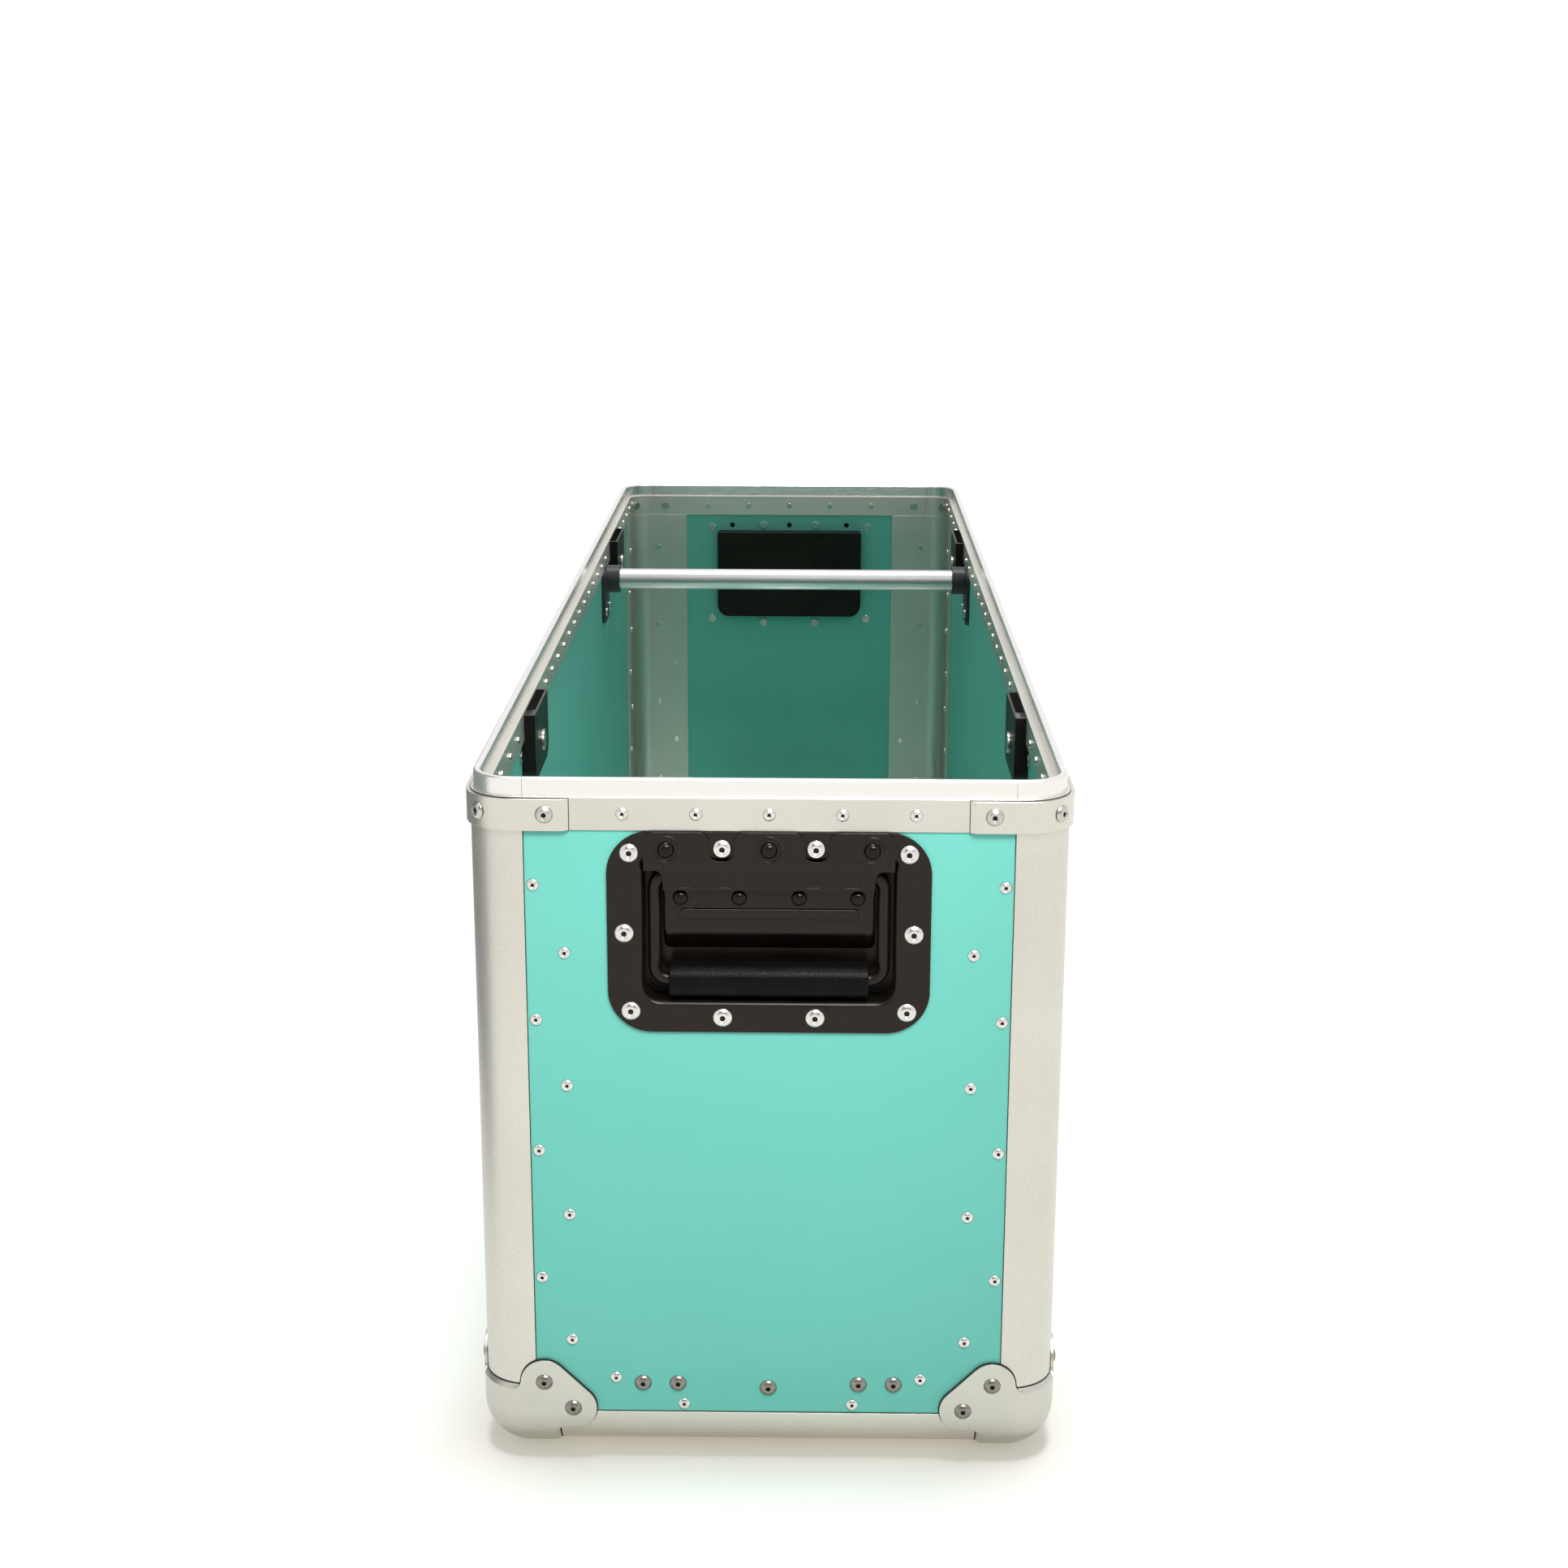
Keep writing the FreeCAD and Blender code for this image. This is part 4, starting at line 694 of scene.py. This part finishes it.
def ways_off(outline):
    """The direction off the sheet at each vertex of its outline, along the shell."""
    ways = {}
    for edge in outline:
        first, last = edge.verts
        halfway = (first.co + last.co) / 2
        way = (last.co - first.co).cross(out_of_corner(halfway)).normalized()
        if way.dot(edge.link_faces[0].calc_center_median() - halfway) > 0.0:
            way.negate()
        for vert in edge.verts:
            ways[vert] = ways.get(vert, Vector()) + way
    return ways


def verts_of(parts):
    """The vertices among the parts of a mesh."""
    return [part for part in parts if isinstance(part, bmesh.types.BMVert)]


def painted_shade_outline(node, width):
    """A dark strip on the shell round the outline of a sheet that lies on its corners, which paints the
    shade of the gap under the sheet's edge.
    """
    copy = merged_copy(node)
    bmesh.ops.delete(copy, geom=[face for face in copy.faces if not faces_in(face)], context="FACES")
    lining = list(copy.faces)
    outline = [edge for edge in copy.edges if edge.is_boundary]
    ways = ways_off(outline)
    strip = bmesh.ops.extrude_edge_only(copy, edges=outline)["geom"]
    for vert in verts_of(strip):
        ends = [edge.other_vert(vert) for edge in vert.link_edges]
        vert.co += ways[next(other for other in ends if other in ways)].normalized() * width
    bmesh.ops.delete(copy, geom=lining, context="FACES")
    raised = bmesh.ops.extrude_face_region(copy, geom=list(copy.faces), use_keep_orig=True)["geom"]
    for vert in verts_of(raised):
        vert.co += out_of_corner(vert.co) * finishes().joint_height
    return copy


# Pieces of the case

class CASE_OT_panels(bpy.types.Operator):
    """Turquoise laminate on the end, side and floor panels"""

    bl_idname = "travel_case.panels"
    bl_label = "Panels"

    def execute(self, context):
        for end in ENDS:
            dress("end_panel_" + end, "laminate_end")
        for side in SIDES:
            dress("side_panel_" + side, "laminate_side")
        dress("floor_panel", "laminate_floor")
        return {"FINISHED"}


class CASE_OT_edges(bpy.types.Operator):
    """Satin aluminium on the edges and the rim, grained along each bar, with painted shade lines round the
    braces
    """

    bl_idname = "travel_case.edges"
    bl_label = "Edges and rim"

    def execute(self, context):
        for corner in CORNERS:
            dress("corner_edge_" + corner, "anodised_upright")
        for end in ENDS:
            dress("bottom_edge_" + end, "anodised_across")
            dress("rim_" + end, "anodised_across")
        for side in SIDES:
            dress("bottom_edge_" + side, "anodised_along")
            dress("rim_" + side, "anodised_along")
        dress("rim_corners", "anodised_upright")
        dress("rim_braces", "brushed_brace")
        joint = painted_shade_outline("rim_braces", finishes().brace_shade_width)
        new_piece("brace_joints", joint, "dark_joint", "case")
        return {"FINISHED"}


class CASE_OT_corners(bpy.types.Operator):
    """Brushed metal on the pressed bottom corners, with a painted shade line round each"""

    bl_idname = "travel_case.corners"
    bl_label = "Bottom corners"

    def execute(self, context):
        for corner in CORNERS:
            dress("bottom_corner_" + corner, "pressed_metal")
            joint = painted_shade_outline("bottom_corner_" + corner, finishes().joint_width)
            new_piece("corner_joint_" + corner, joint, "dark_joint", "case")
        return {"FINISHED"}


class CASE_OT_rivets(bpy.types.Operator):
    """Bright, plain and black rivets, with a dark stub of the pin in each eye, which also paints the eye's
    shade
    """

    bl_idname = "travel_case.rivets"
    bl_label = "Rivets"

    def execute(self, context):
        stubs = bmesh.new()
        for name in EYED_RIVETS:
            dress(name)
            for places in separate_solids(name):
                add_stub(stubs, places)
        new_piece("rivet_stubs", stubs, "rivet_stub", "case")
        dress("handle_dome_rivets", "gloss_dome")
        return {"FINISHED"}


class CASE_OT_handles(bpy.types.Operator):
    """Recessed sprung handles of the two ends"""

    bl_idname = "travel_case.handles"
    bl_label = "End handles"

    def execute(self, context):
        for end in ENDS:
            for piece in ("dish", "hinge_plate", "leaf", "bail", "grip", "springs"):
                dress("handle_" + piece + "_" + end)
        return {"FINISHED"}


class CASE_OT_latches(bpy.types.Operator):
    """Recessed turn latches of the two sides"""

    bl_idname = "travel_case.latches"
    bl_label = "Side latches"

    def execute(self, context):
        for corner in CORNERS:
            for piece in ("dish", "wing", "hook"):
                dress("latch_" + piece + "_" + corner)
        return {"FINISHED"}


class CASE_OT_inside(bpy.types.Operator):
    """Cross bar, floor rail and axle mounts inside the case"""

    bl_idname = "travel_case.inside"
    bl_label = "Inside fittings"

    def execute(self, context):
        dress("cross_bar", "drawn_bar")
        dress("mount_rail", "drawn_rail")
        for name in ("cross_bar_brackets", "rail_anchors", "fork_mount", "rear_mount"):
            dress(name, "grey_paint")
        return {"FINISHED"}


# Studio

SENSOR_WIDTH = 36.0
VIEW_DISTANCE = 100.0
ORIGIN = (0.0, 0.0, 0.0)
WHITE = (1.0, 1.0, 1.0)
CARDS = (
    ("card_left", "Y", (1.4, 1.8), (-0.60, 0.25, 0.7)),
    ("card_front", "X", (3.2, 1.7), (0.0, -2.6, 1.5)),
)


def add_lamp(name, kind, power, place, target):
    """A lamp at a place, aimed at a target."""
    lamp = bpy.data.lights.new(name, kind)
    lamp.energy = power
    holder = bpy.data.objects.new(name, lamp)
    turn = (Vector(target) - Vector(place)).to_track_quat("-Z", "Y")
    holder.matrix_world = Matrix.Translation(place) @ turn.to_matrix().to_4x4()
    bpy.context.scene.collection.objects.link(holder)
    return holder


def key_light():
    """The soft box over the front."""
    own = studio()
    holder = add_lamp("key_light", "AREA", own.key_power, own.key_place, own.key_target)
    holder.data.shape = "RECTANGLE"
    holder.data.size = own.key_width
    holder.data.size_y = own.key_height
    holder.data.spread = own.key_spread
    return holder


def broad_light():
    """A wide sun with soft shadows."""
    own = studio()
    add_lamp("broad_light", "SUN", own.sun_level, own.sun_place, ORIGIN).data.angle = own.sun_width


def spare(lamp, sheet):
    """Keeps a lamp's light off a sheet, so that the shadow of the case shows on it."""
    spared = bpy.data.collections.new("spared")
    spared.objects.link(sheet)
    spared.collection_objects[0].light_linking.link_state = "EXCLUDE"
    lamp.light_linking.receiver_collection = spared


def place_camera():
    """The camera, turned by its yaw, pitch and roll."""
    own = studio()
    pitch, yaw = own.camera_pitch, own.camera_yaw
    forward = Vector((-math.sin(yaw) * math.cos(pitch), math.cos(yaw) * math.cos(pitch), -math.sin(pitch)))
    right = Vector((math.cos(yaw), math.sin(yaw), 0.0))
    up = right.cross(forward)
    turn = Matrix((right, up, -forward)).transposed().to_4x4()
    roll = Matrix.Rotation(own.camera_roll, 4, "Z")
    data = bpy.data.cameras.new("camera")
    data.sensor_width = SENSOR_WIDTH
    data.lens = own.camera_lens
    data.clip_end = VIEW_DISTANCE
    camera = bpy.data.objects.new("camera", data)
    camera.matrix_world = Matrix.Translation(own.camera_place) @ turn @ roll
    bpy.context.scene.collection.objects.link(camera)
    bpy.context.scene.camera = camera


def seen_directly(tree):
    """One where the camera, a mirror or glass looks at a surface, and nought for scattered light."""
    path = put(tree, "ShaderNodeLightPath")
    seen = path.outputs["Is Camera Ray"]
    for label in ("Is Glossy Ray", "Is Transmission Ray"):
        seen = math_node(tree, "MAXIMUM", seen, path.outputs[label])
    return seen


def white_sky():
    """White where it is seen, and a plain even level for the light that it gives."""
    world = bpy.data.worlds.new("studio_sky")
    bpy.context.scene.world = world
    world.use_nodes = True
    tree = world.node_tree
    tree.nodes.clear()
    level = mapped(tree, seen_directly(tree), from_low=0.0, from_high=1.0, to_low=studio().sky_level)
    sky = put(tree, "ShaderNodeBackground", {"Color": opaque(WHITE), "Strength": level})
    put(tree, "ShaderNodeOutputWorld", {"Surface": sky.outputs["Background"]})


def pale_floor():
    """A wide pale sheet that keeps the shadow of the case."""
    own = studio()
    material = bpy.data.materials.new("studio_floor")
    material.use_nodes = True
    tree = material.node_tree
    tree.nodes.clear()
    paper = put(tree, "ShaderNodeBsdfDiffuse", {"Color": opaque(own.paper_colour)})
    strength = scaled(tree, seen_directly(tree), own.floor_glow)
    glow = put(tree, "ShaderNodeEmission", {"Color": opaque(own.glow_colour), "Strength": strength})
    both = put(tree, "ShaderNodeAddShader")
    tree.links.new(paper.outputs["BSDF"], both.inputs[0])
    tree.links.new(glow.outputs["Emission"], both.inputs[1])
    put(tree, "ShaderNodeOutputMaterial", {"Surface": both.outputs["Shader"]})
    sheet = bmesh.new()
    bmesh.ops.create_grid(sheet, x_segments=1, y_segments=1, size=own.floor_reach)
    floor = mesh_object("studio_floor", sheet, material)
    return floor


def dark_card(name, axis, size, place):
    """An upright dark card out of view, which only the sheen of the metal sees."""
    material, _, surface = new_material(name)
    surface.inputs["Base Color"].default_value = opaque(studio().card_colour)
    card = bmesh.new()
    bmesh.ops.create_grid(card, x_segments=1, y_segments=1, size=0.5)
    bmesh.ops.scale(card, vec=(*size, 1.0), verts=card.verts)
    card.transform(Matrix.Translation(place) @ Matrix.Rotation(math.radians(90.0), 4, axis))
    holder = mesh_object(name, card, material)
    holder.visible_camera = False
    holder.visible_diffuse = False
    holder.visible_shadow = False
    holder.visible_transmission = False


class CASE_OT_stage(bpy.types.Operator):
    """Pale floor, soft light and the camera"""

    bl_idname = "travel_case.stage"
    bl_label = "Studio"

    def execute(self, context):
        context.scene.view_settings.view_transform = "Standard"
        white_sky()
        floor = pale_floor()
        for card in CARDS:
            dark_card(*card)
        spare(key_light(), floor)
        broad_light()
        place_camera()
        return {"FINISHED"}


class CASE_PT_sidebar(bpy.types.Panel):
    """Lists the settings and the operators of the travel case"""

    bl_idname = "CASE_PT_sidebar"
    bl_label = "Travel case"
    bl_space_type = "VIEW_3D"
    bl_region_type = "UI"
    bl_category = "Travel case"

    def draw(self, context):
        for operator in OPERATORS:
            self.layout.operator(operator.bl_idname)
        for group in (context.scene.case_finishes, context.scene.case_studio):
            for name in group.__annotations__:
                self.layout.prop(group, name)


OPERATORS = (
    CASE_OT_panels,
    CASE_OT_edges,
    CASE_OT_corners,
    CASE_OT_rivets,
    CASE_OT_handles,
    CASE_OT_latches,
    CASE_OT_inside,
    CASE_OT_stage,
)
GROUPS = (("case_finishes", CaseFinishes), ("case_studio", CaseStudio))


def register():
    """Registers the settings, the operators and the panel."""
    for name, group in GROUPS:
        bpy.utils.register_class(group)
        setattr(bpy.types.Scene, name, bpy.props.PointerProperty(type=group))
    for operator in OPERATORS:
        bpy.utils.register_class(operator)
    bpy.utils.register_class(CASE_PT_sidebar)


def unregister():
    """Takes away what register added."""
    bpy.utils.unregister_class(CASE_PT_sidebar)
    for operator in reversed(OPERATORS):
        bpy.utils.unregister_class(operator)
    for name, group in reversed(GROUPS):
        delattr(bpy.types.Scene, name)
        bpy.utils.unregister_class(group)


def main():
    """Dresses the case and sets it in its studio."""
    register()
    case = bpy.ops.travel_case
    case.panels()
    case.edges()
    case.corners()
    case.rivets()
    case.handles()
    case.latches()
    case.inside()
    case.stage()


if __name__ == "__main__":
    main()
